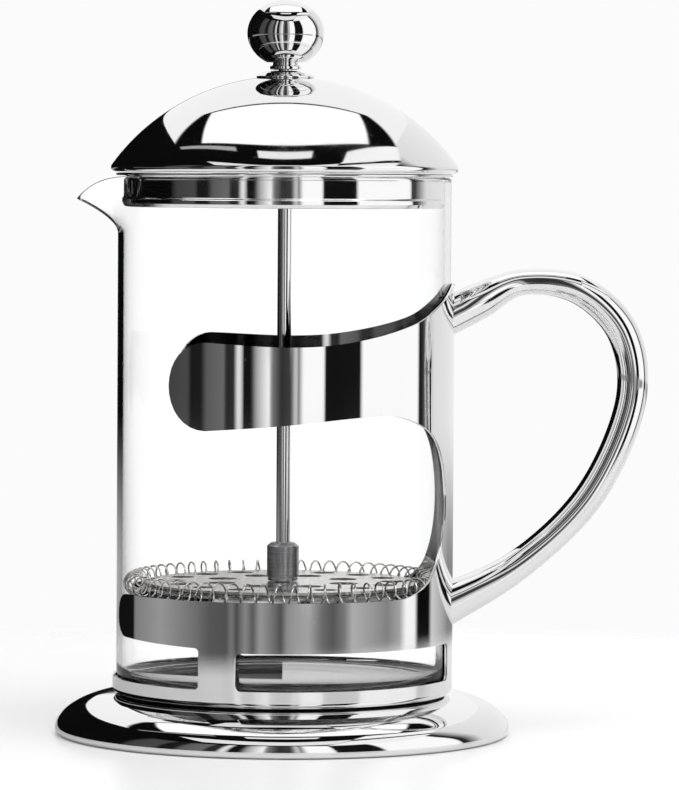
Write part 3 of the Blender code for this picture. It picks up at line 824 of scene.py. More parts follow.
@dataclass
class CarrierFrame:
    """The drawn steel cup whose side is cut away to a band, an arm and a leg on each side."""

    sheet: float = 0.8 * MM
    corner: float = 1.8 * MM
    edge_round: float = 0.25 * MM
    ring: float = 5.3 * MM
    band: tuple[float, float] = (16.7 * MM, 30.7 * MM)
    band_end: float = 162.5
    band_taper: float = 2.0 * MM
    arm_middle: float = 92.4 * MM
    arm_half: float = 12.4 * MM
    arm_end: float = 131.0
    leg: tuple[float, float] = (106.0, 118.5)
    window_start: float = 15.5
    window_fillet: float = 2.0 * MM
    end_steps: int = 16
    fillet_steps: int = 6
    columns: int = 180

    def __post_init__(self) -> None:
        """Read the cup's radius and heights from its CAD node."""
        low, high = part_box("carrier_frame")
        self.outer = (high.x - low.x) / 2
        self.middle = self.outer - self.sheet / 2
        self.bottom = low.z
        self.top = high.z
        self.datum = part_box("saucer_base")[1].z
        self.wall_bottom = self.bottom + self.sheet / 2 + self.corner
        self.per_metre = math.degrees(1 / self.outer)

    def rounded_end(self, end: float, middle: float, half: float) -> list[Pair]:
        """Draw the round end of a strip, from its top to its bottom.

        Args:
            end: The angle that the strip reaches.
            middle: The height of its middle.
            half: Half its height.

        Returns:
            Points (angle, height).
        """
        points = []
        for step in range(self.end_steps + 1):
            turn = math.radians(90 - 180 * step / self.end_steps)
            angle = end + half * (math.cos(turn) - 1) * self.per_metre
            points.append((angle, middle + half * math.sin(turn)))
        return points

    def free_edge(self) -> list[Vector]:
        """Draw the cut edge of half the side, from above the handle to the ring's far end.

        Returns:
            Points (angle, height).
        """
        arm_top = self.datum + self.arm_middle + self.arm_half
        arm_bottom = self.datum + self.arm_middle - self.arm_half
        band_bottom, band_top = (self.datum + height for height in self.band)
        band_middle = (band_top + band_bottom + self.band_taper) / 2
        band_half = (band_top - band_bottom - self.band_taper) / 2
        arm = self.rounded_end(self.arm_end, self.datum + self.arm_middle, self.arm_half)
        band = self.rounded_end(self.band_end, band_middle, band_half)
        upper = [
            (0.0, self.top),
            (9.0, self.top - 0.9 * MM),
            (24.0, self.top - 5.6 * MM),
            (40.5, arm_top + 5.2 * MM),
            (66.0, arm_top + 0.4 * MM),
            (87.0, arm_top - 1.1 * MM),
            arm[0],
        ]
        notch = [
            arm[-1],
            (92.0, arm_bottom + 1.7 * MM),
            (63.0, arm_bottom + 4.1 * MM),
            (46.0, arm_bottom + 3.5 * MM),
            (30.0, arm_bottom - 2.0 * MM),
            (21.5, arm_bottom - 10.8 * MM),
            (18.3, arm_bottom - 22.3 * MM),
            (21.5, band_top + 16.0 * MM),
            (30.5, band_top + 5.4 * MM),
            (42.0, band_top + 0.8 * MM),
            (52.0, band_top),
        ]
        ring_top = self.datum + self.ring
        leg = self.leg[1]
        blend = self.window_fillet * self.per_metre / 2
        foot = [
            (leg + blend, band_bottom + self.band_taper / 2),
            (leg, band_bottom + self.band_taper / 2 - self.window_fillet / 2),
            (leg, ring_top + self.window_fillet / 2),
            (leg + blend, ring_top),
            (180.0, ring_top),
        ]
        line = smooth_run(upper, 10)[:-1] + [Vector(point) for point in arm]
        line += smooth_run(notch, 10)[1:] + [Vector(point) for point in band]
        return line + [Vector(point) for point in foot]

    def window_edge(self) -> list[Vector]:
        """Draw the window between ring and band, with filleted corners.

        Returns:
            Points (angle, height).
        """
        across = self.window_fillet * self.per_metre
        left, right = self.window_start + across, self.leg[0] - across
        low = self.datum + self.ring + self.window_fillet
        high = self.datum + self.band[0] - self.window_fillet
        line = []
        corners = ((right, high), (left, high), (left, low), (right, low))
        for quarter, (angle, height) in enumerate(corners):
            for step in range(self.fillet_steps + 1):
                turn = math.radians(90 * (quarter + step / self.fillet_steps))
                up = height + self.window_fillet * math.sin(turn)
                line.append(Vector((angle + across * math.cos(turn), up)))
        return line

    def edge_rings(self, bm: bmesh.types.BMesh, line: list[Vector], loop: bool) -> list[list]:
        """Draw the rounded cut edge along a line, from the outer face to the inner one.

        Args:
            bm: The mesh to draw in: angle in degrees, then height and depth in millimetres.
            line: The edge's points, with the sheet on its right.
            loop: Whether the edge closes on itself.

        Returns:
            The rows of vertices.
        """
        half, soft = self.sheet / 2, self.edge_round
        shape = [(-soft, half), (-0.3 * soft, half - 0.3 * soft), (0.0, half - soft)]
        shape += [(offset, -depth) for offset, depth in reversed(shape)]
        flat = [Vector((point.x / self.per_metre, point.y)) for point in line]
        count = len(flat)
        outs = []
        for index in range(count):
            before = flat[index - 1] if loop or index else None
            after = flat[(index + 1) % count] if loop or index < count - 1 else None
            late = flat[index] if after is None else after
            early = flat[index] if before is None else before
            way = late - early
            out = Vector((way.y, -way.x)).normalized()
            if before is None or after is None:
                out = Vector((0.0, math.copysign(1.0, out.y)))
            outs.append(out)
        rows = []
        for offset, depth in shape:
            row = []
            for point, out in zip(flat, outs):
                place = point + out * offset
                row.append(bm.verts.new((place.x * self.per_metre, place.y / MM, depth / MM)))
            rows.append(row)
        for upper, lower in zip(rows, rows[1:]):
            pairs = list(zip(upper, upper[1:], lower[1:], lower))
            if loop:
                pairs.append((upper[-1], upper[0], lower[0], lower[-1]))
            for quad in pairs:
                bm.faces.new(quad)
        return rows

    def side(self) -> bmesh.types.BMesh:
        """Cut half of the side flat, with rounded edges, wrap it and mirror it.

        Returns:
            Both halves of the side, open along the bottom.
        """
        bm = bmesh.new()
        edge = self.edge_rings(bm, self.free_edge(), False)
        window = self.edge_rings(bm, self.window_edge(), True)
        floor = self.wall_bottom / MM
        for row in (0, -1):
            depth = edge[row][0].co.z
            corners = [bm.verts.new((180.0, floor, depth)), bm.verts.new((0.0, floor, depth))]
            run = [*edge[row], *corners]
            edges = [self.edge_between(bm, *pair) for pair in zip(run, run[1:] + run[:1])]
            ring = window[row]
            edges += [self.edge_between(bm, *pair) for pair in zip(ring, ring[1:] + ring[:1])]
            bmesh.ops.triangle_fill(bm, use_beauty=True, edges=edges)
        for step in range(1, self.columns):
            everything = bm.verts[:] + bm.edges[:] + bm.faces[:]
            cut = (180.0 * step / self.columns, 0.0, 0.0)
            bmesh.ops.bisect_plane(bm, geom=everything, plane_co=cut, plane_no=(1, 0, 0), dist=1e-4)
        for vert in bm.verts:
            angle, radius = math.radians(vert.co.x), self.middle + vert.co.z * MM
            vert.co = (radius * math.cos(angle), -radius * math.sin(angle), vert.co.y * MM)
        everything = bm.verts[:] + bm.edges[:] + bm.faces[:]
        bmesh.ops.mirror(bm, geom=everything, matrix=Matrix.Identity(4), merge_dist=1e-6, axis="Y")
        return bm

    def edge_between(
        self, bm: bmesh.types.BMesh, first: bmesh.types.BMVert, second: bmesh.types.BMVert
    ) -> bmesh.types.BMEdge:
        """Return the edge between two vertices, made if it is missing."""
        return bm.edges.get((first, second)) or bm.edges.new((first, second))

    def close(self, bm: bmesh.types.BMesh) -> None:
        """Carry both faces of the side round the corner to the cup's floor.

        Args:
            bm: The side.
        """
        centre = (self.middle - self.corner, self.wall_bottom)
        half = self.sheet / 2
        for outside, radius in ((True, self.corner + half), (False, self.corner - half)):
            rim = [
                edge
                for edge in bm.edges
                if edge.is_boundary
                and all(abs(vert.co.z - self.wall_bottom) < 1e-6 for vert in edge.verts)
                and (edge.verts[0].co.xy.length > self.middle) == outside
            ]
            for r, z in arc(centre, radius, 0, -90, self.fillet_steps)[1:]:
                made = bmesh.ops.extrude_edge_only(bm, edges=rim)
                rim = [item for item in made["geom"] if isinstance(item, bmesh.types.BMEdge)]
                for vert in {vert for edge in rim for vert in edge.verts}:
                    out = vert.co.xy.normalized() * r
                    vert.co = (out.x, out.y, z)
            bmesh.ops.edgeloop_fill(bm, edges=rim)

    def build(self, shop: Workshop) -> None:
        """Build the cup.

        Args:
            shop: Where it is made.
        """
        bm = self.side()
        self.close(bm)
        bmesh.ops.remove_doubles(bm, verts=bm.verts, dist=1e-7)
        bmesh.ops.recalc_face_normals(bm, faces=bm.faces)
        layer = bm.verts.layers.float_vector.new("way")
        inner = self.outer - self.sheet
        for vert in bm.verts:
            flat = vert.co.xy
            on_wall = min(abs(flat.length - self.outer), abs(flat.length - inner)) < 2e-6
            if vert.co.z > self.wall_bottom - 1e-6 and on_wall:
                out = flat.normalized()
                vert[layer] = Vector((out.x, out.y, 0.0))
                continue
            on_floor = vert.co.z < self.bottom + self.sheet + 1e-6
            if on_floor and flat.length < self.middle - self.corner + 1e-5:
                vert[layer] = Vector((0.0, 0.0, 1.0))
        shop.piece("carrier_frame_polished", bm, Slot.MIRROR, Body.CARRIER, ("carrier_frame",))


@dataclass
class LoopHandle:
    """The oval tube that loops from the frame's top to its lower band."""

    reach: float = 57.3 * MM
    half_thickness: float = 4.5 * MM
    width_ratio: float = 1.4
    roots: tuple[float, float] = (111.8 * MM, 26.0 * MM)
    line: tuple[Corner, ...] = (
        (-0.05, 0.99, 1.22),
        (0.14, 1.05, 1.19),
        (0.38, 1.115, 0.86),
        (0.71, 1.09, 0.97),
        (0.96, 0.94, 1.05),
        (1.0, 0.70, 1.0),
        (0.775, 0.385, 0.98),
        (0.375, 0.145, 1.0),
        (-0.08, -0.01, 1.39),
    )
    seat_depth: float = 0.4 * MM
    sharp_angle: float = 60.0
    sides: int = 48
    steps: int = 16

    def centre_line(self, outer: float, datum: float) -> list[Vector]:
        """Draw the centre line.

        Args:
            outer: The frame's outer radius.
            datum: The height of the base's top.

        Returns:
            Points (x, height, half thickness).
        """
        upper, lower = datum + self.roots[0], datum + self.roots[1]
        span = self.reach - self.half_thickness
        knots = []
        for across, up, share in self.line:
            height = lower + up * (upper - lower)
            knots.append((outer + across * span, height, share * self.half_thickness))
        run = smooth_run(knots, self.steps)
        spare = outer + self.reach - max(point.x + point.z for point in run)
        for point in run:
            point.x += spare * (point.x - outer) / span
        return run

    def build(self, shop: Workshop) -> None:
        """Build the handle, with both ends let into the frame's sheet.

        Args:
            shop: Where it is made.
        """
        low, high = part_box("carrier_frame")
        outer = (high.x - low.x) / 2
        run = self.centre_line(outer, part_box("saucer_base")[1].z)
        bm = bmesh.new()
        side = Vector((0.0, 1.0, 0.0))
        loops = []
        for index, point in enumerate(run):
            early, late = run[max(index - 1, 0)], run[min(index + 1, len(run) - 1)]
            along = Vector((late.x - early.x, 0.0, late.y - early.y)).normalized()
            turn = Matrix((side, side.cross(along), along)).transposed().to_4x4()
            stretch = Matrix.Diagonal((self.width_ratio * point.z, point.z, 1.0, 1.0))
            place = Matrix.Translation((point.x, 0.0, point.y)) @ turn @ stretch
            ring = bmesh.ops.create_circle(bm, segments=self.sides, radius=1.0, matrix=place)
            loops.append(ring["verts"])
        kept = self.seat_ends(bm, loops, outer - self.seat_depth)
        edges = [list({edge for vert in verts for edge in vert.link_edges}) for verts in kept]
        for first, second in zip(edges, edges[1:]):
            bmesh.ops.bridge_loops(bm, edges=first + second)
        for verts in (kept[0], kept[-1]):
            bmesh.ops.contextual_create(bm, geom=verts)
        bmesh.ops.recalc_face_normals(bm, faces=bm.faces)
        shop.piece("handle_polished", bm, Slot.MIRROR, Body.CARRIER, ("handle",), self.sharp_angle)

    def seat_ends(self, bm: bmesh.types.BMesh, loops: list[list], seat: float) -> list[list]:
        """Drop the rings inside the frame and lay the first and last ring on its curve.

        Args:
            bm: The mesh that holds them.
            loops: The rings of vertices, in order.
            seat: The radius on which the ends lie.

        Returns:
            The rings that stay.
        """
        outside = [all(vert.co.xy.length > seat for vert in verts) for verts in loops]
        first, last = outside.index(True), len(outside) - 1 - outside[::-1].index(True)
        for index, verts in enumerate(loops):
            if index < first - 1 or index > last + 1:
                bmesh.ops.delete(bm, geom=verts, context="VERTS")
        for index, neighbour in ((first - 1, first), (last + 1, last)):
            for vert, other in zip(loops[index], loops[neighbour]):
                way = (vert.co - other.co).normalized()
                target = math.sqrt(max(seat**2 - other.co.y**2, 0.0))
                vert.co = other.co + way * ((target - other.co.x) / way.x)
        return loops[first - 1 : last + 2]


@dataclass
class GlassBeaker:
    """The clear glass cylinder with its rounded foot and pulled spout."""

    wall: float = 1.6 * MM
    floor: float = 3.5 * MM
    corner: float = 6.0 * MM
    spout_reach: float = 12.6 * MM
    spout_drop: float = 6.5 * MM
    spout_depth: float = 16.5 * MM
    spout_half_angle: float = math.radians(25.0)
    spout_rows: int = 22
    above_foot: float = 20.0 * MM
    below_spout: float = 30.0 * MM
    sides: int = 240

    def pull_spout(self, bm: bmesh.types.BMesh, rim: float) -> None:
        """Draw the rim out and down into a lip on the -X side.

        Args:
            bm: The cylinder.
            rim: The height of its rim.
        """
        start = rim - self.spout_depth
        for vert in bm.verts:
            away = abs(math.atan2(vert.co.y, -vert.co.x))
            if vert.co.z <= start or away >= self.spout_half_angle:
                continue
            share = (vert.co.z - start) / self.spout_depth
            pull = math.cos(away / self.spout_half_angle * math.pi / 2) ** 2
            out = vert.co.xy.normalized() * self.spout_reach * pull * share**1.7
            vert.co += Vector((out.x, out.y, -self.spout_drop * pull**2.5 * share))

    def build(self, shop: Workshop) -> None:
        """Build the beaker.

        Args:
            shop: Where it is made.
        """
        low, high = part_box("glass_beaker")
        radius = (high.y - low.y) / 2
        bore = radius - self.wall
        inner_corner = self.corner - self.wall
        floor = low.z + self.floor
        half = self.wall / 2
        row = self.spout_depth / self.spout_rows
        heights = [high.z - half - row * step for step in range(1, self.spout_rows + 1)]
        straight_top = heights[-1] - self.below_spout
        path = [(0.0, low.z), (radius * 0.5, low.z)]
        path += arc((radius - self.corner, low.z + self.corner), self.corner, -90, 0, 10)
        path += [(radius, low.z + self.corner + self.above_foot), (radius, straight_top)]
        path += [(radius, height) for height in reversed(heights)]
        path += arc((radius - half, high.z - half), half, 0, 180, 10)
        path += [(bore, height) for height in heights]
        path += [(bore, straight_top), (bore, floor + inner_corner + self.above_foot)]
        path += arc((bore - inner_corner, floor + inner_corner), inner_corner, 0, -90, 8)
        path += [(radius * 0.5, floor), (0.0, floor)]
        bm = spun(Profile.filleted([(r, z, 0.0) for r, z in path]), self.sides)
        bm.verts.layers.float_vector.remove(bm.verts.layers.float_vector["way"])
        self.pull_spout(bm, high.z)
        shop.piece("glass_beaker_clear", bm, Slot.GLASS, Body.BEAKER, ("glass_beaker",))


@dataclass
class Lid:
    """The domed cover and the slotted skirt that sits inside the glass."""

    sheet: float = 0.8 * MM
    hole: float = 4.4 * MM
    crown: float = 0.15 * MM
    roll: float = 1.3 * MM
    skirt_gap: float = 0.4 * MM
    bead: float = 1.1 * MM
    recess: float = 0.5 * MM
    slots: int = 7
    slot_columns: tuple[int, int] = (2, 3)
    sides: int = 256

    def build(self, shop: Workshop) -> None:
        """Build both pieces.

        Args:
            shop: Where they are made.
        """
        self.dome(shop)
        self.skirt(shop)

    def dome(self, shop: Workshop) -> None:
        """Build the dome: a shallow cap whose edge rolls under.

        Args:
            shop: Where it is made.
        """
        low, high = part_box("lid_dome")
        radius = (high.x - low.x) / 2
        top = high.z + self.crown
        across, drop = radius - self.roll, top - low.z - 2 * self.roll
        ball = self.roll + (across**2 + drop**2) / (2 * drop)
        start = 90 - math.degrees(math.asin(self.hole / ball))
        end = 90 - math.degrees(math.asin(across / (ball - self.roll)))
        path = arc((0.0, top - ball), ball, start, end, 40)
        path += arc((across, low.z + self.roll), self.roll, end, -120, 14)[1:]
        face = Profile.filleted([(r, z, 0.0) for r, z in path])
        bm = spun(face.thickened(self.sheet), self.sides)
        shop.piece("lid_dome_polished", bm, Slot.MIRROR, Body.LID_SHELL, ("lid_dome",))

    def skirt(self, shop: Workshop) -> None:
        """Build the skirt, with its flange, recessed wall, bead and pouring slots.

        Args:
            shop: Where it is made.
        """
        low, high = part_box("lid_skirt")
        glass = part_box("glass_beaker")
        wall = (glass[1].y - glass[0].y) / 2 - GlassBeaker.wall - self.skirt_gap
        rim = (high.x - low.x) / 2
        under = high.z - self.sheet
        neck = wall - self.recess
        soft = 0.35 * MM
        bead_top = low.z + 2 * self.bead + 0.4 * MM
        slot_top, slot_bottom = under - 1.6 * MM, bead_top + 1.0 * MM
        corners = [
            (rim, under, 0.0),
            (wall, under, 0.2 * MM),
            (neck, under - self.recess, soft),
            (neck, slot_top, 0.0),
            (neck, slot_bottom, 0.0),
            (neck, bead_top, soft),
            (wall, bead_top - 0.5 * MM, soft),
            (wall, bead_top - 1.7 * MM, soft),
            (neck, low.z, 0.0),
        ]
        bm = spun(Profile.filleted(corners).thickened(self.sheet), self.sides)
        self.cut_slots(bm, slot_bottom, slot_top)
        shop.piece("lid_skirt_polished", bm, Slot.MIRROR, Body.LID_SHELL, ("lid_skirt",))

    def cut_slots(self, bm: bmesh.types.BMesh, bottom: float, top: float) -> None:
        """Open the pouring slots through both faces of the wall on the -X side.

        Args:
            bm: The spun skirt.
            bottom: The slots' lower end.
            top: The slots' upper end.
        """
        step = 2 * math.pi / self.sides
        open_columns, shut_columns = self.slot_columns
        pitch = open_columns + shut_columns
        first = -(self.slots * pitch - shut_columns) // 2
        for slot in range(self.slots):
            start = (first + slot * pitch) * step
            end = start + open_columns * step
            found = []
            for face in bm.faces:
                middle = face.calc_center_median()
                away = math.atan2(middle.y, -middle.x)
                if bottom < middle.z < top and start < away < end:
                    found.append(face)
            bmesh.ops.delete(bm, geom=found, context="FACES")
            rim = [edge for edge in bm.edges if edge.is_boundary]
            bmesh.ops.bridge_loops(bm, edges=rim)


@dataclass
class Ferrule:
    """The lens-shaped flange on the dome, with its hollow stem."""

    radius: float = 8.5 * MM
    rise: float = 1.6 * MM
    bore: float = 3.3 * MM
    stem: float = 4.0 * MM
    fall: float = 0.52 * MM
    sides: int = 96

    def build(self, shop: Workshop) -> None:
        """Build the ferrule and dress what clamps it.

        Args:
            shop: Where they are made.
        """
        low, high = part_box("lid_ferrule")
        seat = high.z - self.rise
        corners = [
            (self.bore, high.z, 0.15 * MM),
            (self.radius * 0.5, high.z - 0.05 * MM, 1.5 * MM),
            (self.radius * 0.8, high.z - 0.62 * MM, 3.0 * MM),
            (self.radius, seat - 0.05 * MM, 0.3 * MM),
            (self.radius, seat - self.fall, 0.05 * MM),
            (self.stem, seat - 0.08 * MM, 0.0),
            (self.stem, low.z, 0.15 * MM),
            (self.bore, low.z, 0.15 * MM),
        ]
        bm = spun(Profile.filleted(corners, closed=True), self.sides)
        shop.piece("lid_ferrule_polished", bm, Slot.MIRROR, Body.LID_CORE, ("lid_ferrule",))
        shop.dress("ferrule_washer", Slot.SATIN)
        shop.dress("ferrule_nut", Slot.SATIN)
        shop.dress("rod_bushing", Slot.NYLON)


@dataclass
class Knob:
    """The ball and its stepped collar."""

    flatness: float = 0.865
    socket: float = 9.0 * MM
    bore: float = 2.35 * MM
    gap: float = 0.28 * MM
    collar: float = 4.6 * MM
    neck: float = 3.7 * MM
    sides: int = 128

    def build(self, shop: Workshop) -> None:
        """Build both pieces.

        Args:
            shop: Where they are made.
        """
        low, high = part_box("knob_ball")
        radius = (high.x - low.x) / 2
        half = radius * self.flatness
        middle = high.z - half
        socket = low.z + self.socket
        face = -math.degrees(math.asin((middle - low.z) / half))
        ball = arc((0.0, middle), radius, 90, face, 60, self.flatness)
        path = [(r, z, 0.0) for r, z in ball]
        path += [(self.bore, low.z, 0.2 * MM), (self.bore, socket, 0.0), (0.0, socket, 0.0)]
        bm = spun(Profile.filleted(path), self.sides)
        shop.piece("knob_ball_polished", bm, Slot.MIRROR, Body.PLUNGER, ("knob_ball",))
        low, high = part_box("knob_collar")
        tall = high.z - low.z
        top = high.z + self.gap
        corners = [
            (self.bore, top, 0.1 * MM),
            (self.neck, top, 0.0),
            (self.neck * 1.02, low.z + tall * 0.72, 0.2 * MM),
            (self.collar * 0.93, low.z + tall * 0.6, 0.15 * MM),
            (self.collar, low.z + tall * 0.5, 0.25 * MM),
            (self.collar, low.z + tall * 0.1, 0.25 * MM),
            (self.collar * 0.86, low.z, 0.15 * MM),
            (self.bore, low.z, 0.1 * MM),
        ]
        bm = spun(Profile.filleted(corners, closed=True), self.sides)
        shop.piece("knob_collar_polished", bm, Slot.MIRROR, Body.PLUNGER, ("knob_collar",))


@dataclass
class Plunger:
    """The rod, its hub, the filter's plates and the coil of wire round their edge."""

    rod_radius: float = 2.05 * MM
    hub_radius: float = 4.7 * MM
    hub_bore: float = 2.35 * MM
    chamfer: float = 1.3 * MM
    hub_foot: float = 0.3 * MM
    rod_sides: int = 64
    hub_sides: int = 96
    wire: float = 0.275 * MM
    coil_radius: float = 3.0 * MM
    turns: int = 62
    points_per_turn: int = 22

    def build(self, shop: Workshop) -> None:
        """Build the rod, the hub and the coil, and dress the plates.

        Args:
            shop: Where they are made.
        """
        low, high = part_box("plunger_rod")
        corners = [
            (0.0, high.z, 0.0),
            (self.rod_radius, high.z, 0.3 * MM),
            (self.rod_radius, low.z, 0.3 * MM),
            (0.0, low.z, 0.0),
        ]
        bm = spun(Profile.filleted(corners), self.rod_sides)
        shop.piece("plunger_rod_drawn", bm, Slot.MIRROR, Body.PLUNGER, ("plunger_rod",))
        low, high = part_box("hub_sleeve")
        corners = [
            (self.hub_bore, high.z, 0.1 * MM),
            (self.hub_radius - self.chamfer, high.z, 0.15 * MM),
            (self.hub_radius, high.z - self.chamfer * 0.8, 0.25 * MM),
            (self.hub_radius, low.z + 1.0 * MM, 0.1 * MM),
            (self.hub_radius - self.hub_foot, low.z + 0.8 * MM, 0.1 * MM),
            (self.hub_radius - self.hub_foot, low.z, 0.1 * MM),
            (self.hub_bore, low.z, 0.1 * MM),
        ]
        bm = spun(Profile.filleted(corners, closed=True), self.hub_sides)
        shop.piece("hub_sleeve_turned", bm, Slot.SATIN, Body.PLUNGER, ("hub_sleeve",))
        for node, slot in (
            ("spiral_plate", Slot.SPRING),
            ("filter_screen", Slot.WOVEN),
            ("cross_plate", Slot.SPRING),
            ("filter_washer", Slot.SATIN),
            ("filter_screw", Slot.SATIN),
        ):
            shop.dress(node, slot)
        self.coil(shop)

    def coil(self, shop: Workshop) -> None:
        """Wind the endless coil.

        Args:
            shop: Where it is made.
        """
        low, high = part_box("coil_spring")
        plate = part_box("spiral_plate")
        middle = (plate[0].z + plate[1].z) / 2
        radius = (high.x - low.x) / 2 - self.wire - self.coil_radius
        curve = bpy.data.curves.new("coil", "CURVE")
        curve.dimensions = "3D"
        curve.bevel_depth = self.wire
        curve.bevel_resolution = 2
        spline = curve.splines.new("POLY")
        count = self.turns * self.points_per_turn
        spline.points.add(count - 1)
        spline.use_cyclic_u = True
        for index, point in enumerate(spline.points):
            about = 2 * math.pi * index / count
            turn = 2 * math.pi * index / self.points_per_turn
            out = radius + self.coil_radius * math.cos(turn)
            up = middle + self.coil_radius * math.sin(turn)
            point.co = (out * math.cos(about), out * math.sin(about), up, 1.0)
        holder = stand("coil", curve)
        graph = bpy.context.evaluated_depsgraph_get()
        bm = bmesh.new()
        bm.from_mesh(holder.evaluated_get(graph).to_mesh())
        bpy.data.objects.remove(holder)
        bpy.data.curves.remove(curve)
        bmesh.ops.remove_doubles(bm, verts=bm.verts, dist=1e-7)
        bmesh.ops.recalc_face_normals(bm, faces=bm.faces)
        shop.piece("coil_spring_wound", bm, Slot.SPRING, Body.PLUNGER, ("coil_spring",))


# Studio


@dataclass
class Studio:
    """The pale table, the soft light, the black and white cards and the camera."""

    axis_x: float
    distance: float = 1.43
    eye_height: float = 0.168
    aim_side: float = 0.0164
    aim_height: float = 0.0999
    lens: float = 221.5
    roll: float = 0.35
    table_radius: float = 0.6
    table_fade: Pair = (0.25, 0.345)
    table_grey: float = 0.875
    plain: float = 0.965
    through: float = 1.09
    eaves: Pair = (44.0, 46.0)
    horizon: Pair = (-4.9, -2.9)
    far_edge: Pair = (-7.6, -6.6)
    low_sky: Pair = (5.8, 6.8)
    back_half: float = 0.77
    back_level: float = 0.96
    panel_level: float = 1.12
    dark_level: float = 0.003
    bow: float = 1.1
    panel_lean: float = 0.22
    panel_edge: Pair = (0.545, 0.565)
    panel_depth: Pair = (-0.09, 0.585)
    wall_edge: Pair = (0.53, 0.54)
    back_edge: Pair = (0.765, 0.775)
    strips: tuple[tuple[Pair, Pair, float], ...] = (
        ((-0.62, 0.45), (-0.86, -0.46), 0.85),
        ((-0.2, 0.2), (-0.26, -0.17), 0.9),
        ((-0.75, -0.35), (-0.2, -0.14), 0.4),
    )
    lamp_plan: tuple[tuple[str, Corner, float, float], ...] = (
        ("key lamp", (0.5, -0.6, 1.3), 1.2, 9.0),
        ("fill lamp", (-0.9, -0.5, 0.9), 1.0, 4.0),
    )
    lamp_target: Corner = (0.0, 0.0, 0.08)
    walls: tuple[Pair, ...] = (
        (-180, 0.003), (-90, 0.003), (-84, 0.055), (-68, 0.07), (-65, 0.01), (-57, 0.012),
        (-53, 0.11), (-41, 0.15), (-39, 0.02), (-33, 0.03), (-31.5, 0.8), (-28.5, 0.8),
        (-27.5, 0.006), (-21.5, 0.006), (-18, 0.4), (-10, 1.0), (-8, 0.2), (-2, 0.03), (5, 0.05),
        (8, 0.7), (10, 0.2), (13, 1.06), (26.5, 1.06), (28, 0.006), (52.5, 0.006), (54, 1.06),
        (102, 1.06), (104, 0.005), (108, 0.03), (122, 0.78), (180, 0.93),
    )
    far_table: tuple[Pair, ...] = (
        (-180, 0.7), (-165, 0.35), (-150, 0.3), (-146, 0.005), (-121, 0.006), (-118.5, 0.22),
        (-90, 0.33), (-75, 0.25), (-60, 0.17), (-50, 0.1), (-38, 0.09), (-34.5, 0.2), (-31, 0.07),
        (-25, 0.26), (-20, 0.1), (-15, 0.33), (-1, 0.08), (3, 0.29), (10, 0.36), (17, 0.39),
        (26, 0.16), (34, 0.1), (42, 0.2), (48, 0.46), (75, 0.24), (86, 0.4), (92, 1.0),
        (100.5, 1.0), (103.5, 0.003), (117, 0.003), (121, 0.65), (150, 0.25),
    )

    def build(self) -> None:
        """Set up the camera, the table and the light."""
        self.camera()
        self.table()
        self.cards()
        self.lamps()

    def camera(self) -> None:
        """Place the camera, level but for a slight roll."""
        data = bpy.data.cameras.new("camera")
        data.lens = self.lens
        data.sensor_width = 36.0
        data.clip_start = 0.01
        camera = stand("camera", data)
        eye = Vector((self.axis_x, -self.distance, self.eye_height))
        aim = Vector((self.axis_x + self.aim_side, 0.0, self.aim_height))
        look = (aim - eye).to_track_quat("-Z", "Y")
        camera.rotation_mode = "QUATERNION"
        roll = Quaternion((0.0, 0.0, 1.0), math.radians(self.roll))
        camera.rotation_quaternion = look @ roll
        camera.location = eye
        bpy.context.scene.camera = camera
        bpy.context.scene.view_settings.view_transform = "Standard"

    def table(self) -> None:
        """Lay the pale table, which fades out with distance."""
        material, bench, shader = new_material("pale table")
        across, along, _ = bench.split(bench.place())
        far = (across * across + along * along) ** 0.5
        fade = 1.0 - far.above(*self.table_fade)
        grey = (self.table_grey, self.table_grey, self.table_grey, 1.0)
        feed(bench, shader, Base_Color=grey, Roughness=0.3, Alpha=fade)
        bm = bmesh.new()
        bmesh.ops.create_circle(bm, cap_ends=True, segments=96, radius=self.table_radius)
        mesh = bpy.data.meshes.new("table")
        bm.to_mesh(mesh)
        bm.free()
        mesh.materials.append(material)
        stand("table", mesh)

    def cards(self) -> None:
        """Surround the press with white panels and black cards, seen in the steel only."""
        world = bpy.data.worlds.new("studio")
        bpy.context.scene.world = world
        world.use_nodes = True
        bench = Bench(world.node_tree)
        x, y, z = bench.split(bench.add("ShaderNodeTexCoord", output="Generated"))
        around = x.function("ARCTAN2", 0.0 - y) * (0.5 / math.pi) + 0.5
        up = z.function("ARCSINE") * (180 / math.pi)
        walls = self.all_round(bench, around, self.walls)
        far_table = self.all_round(bench, around, self.far_table)
        rise = z.function("MAXIMUM", 0.001)
        side, back = x / rise, y / rise
        clear = up.above(*self.low_sky)
        sky = clear + (x > 0.0) * (z > 0.0) * (1.0 - clear)
        behind = (y > 0.0) * (side.function("ABSOLUTE") < self.back_half) * sky
        walls = walls * (1.0 - behind) + behind * self.back_level
        low = (1.0 - up.above(*self.horizon)) * up.above(*self.far_edge)
        high = up.above(*self.eaves)
        shown = walls * (1.0 - high) * (1.0 - low) + self.ceiling(side, back) * high
        shown = shown + far_table * low
        rays = bench.add("ShaderNodeLightPath")
        seen = {socket.name: Field(bench, socket) for socket in rays.socket.node.outputs}
        bounced, through = seen["Glossy Depth"] > 0.5, seen["Transmission Depth"] > 0.5
        plain = self.plain + through * (self.through - self.plain)
        strength = bounced * shown + (1.0 - bounced) * plain
        backdrop = world.node_tree.nodes["Background"]
        feed(bench, backdrop, Color=(1.0, 1.0, 1.0, 1.0), Strength=strength)

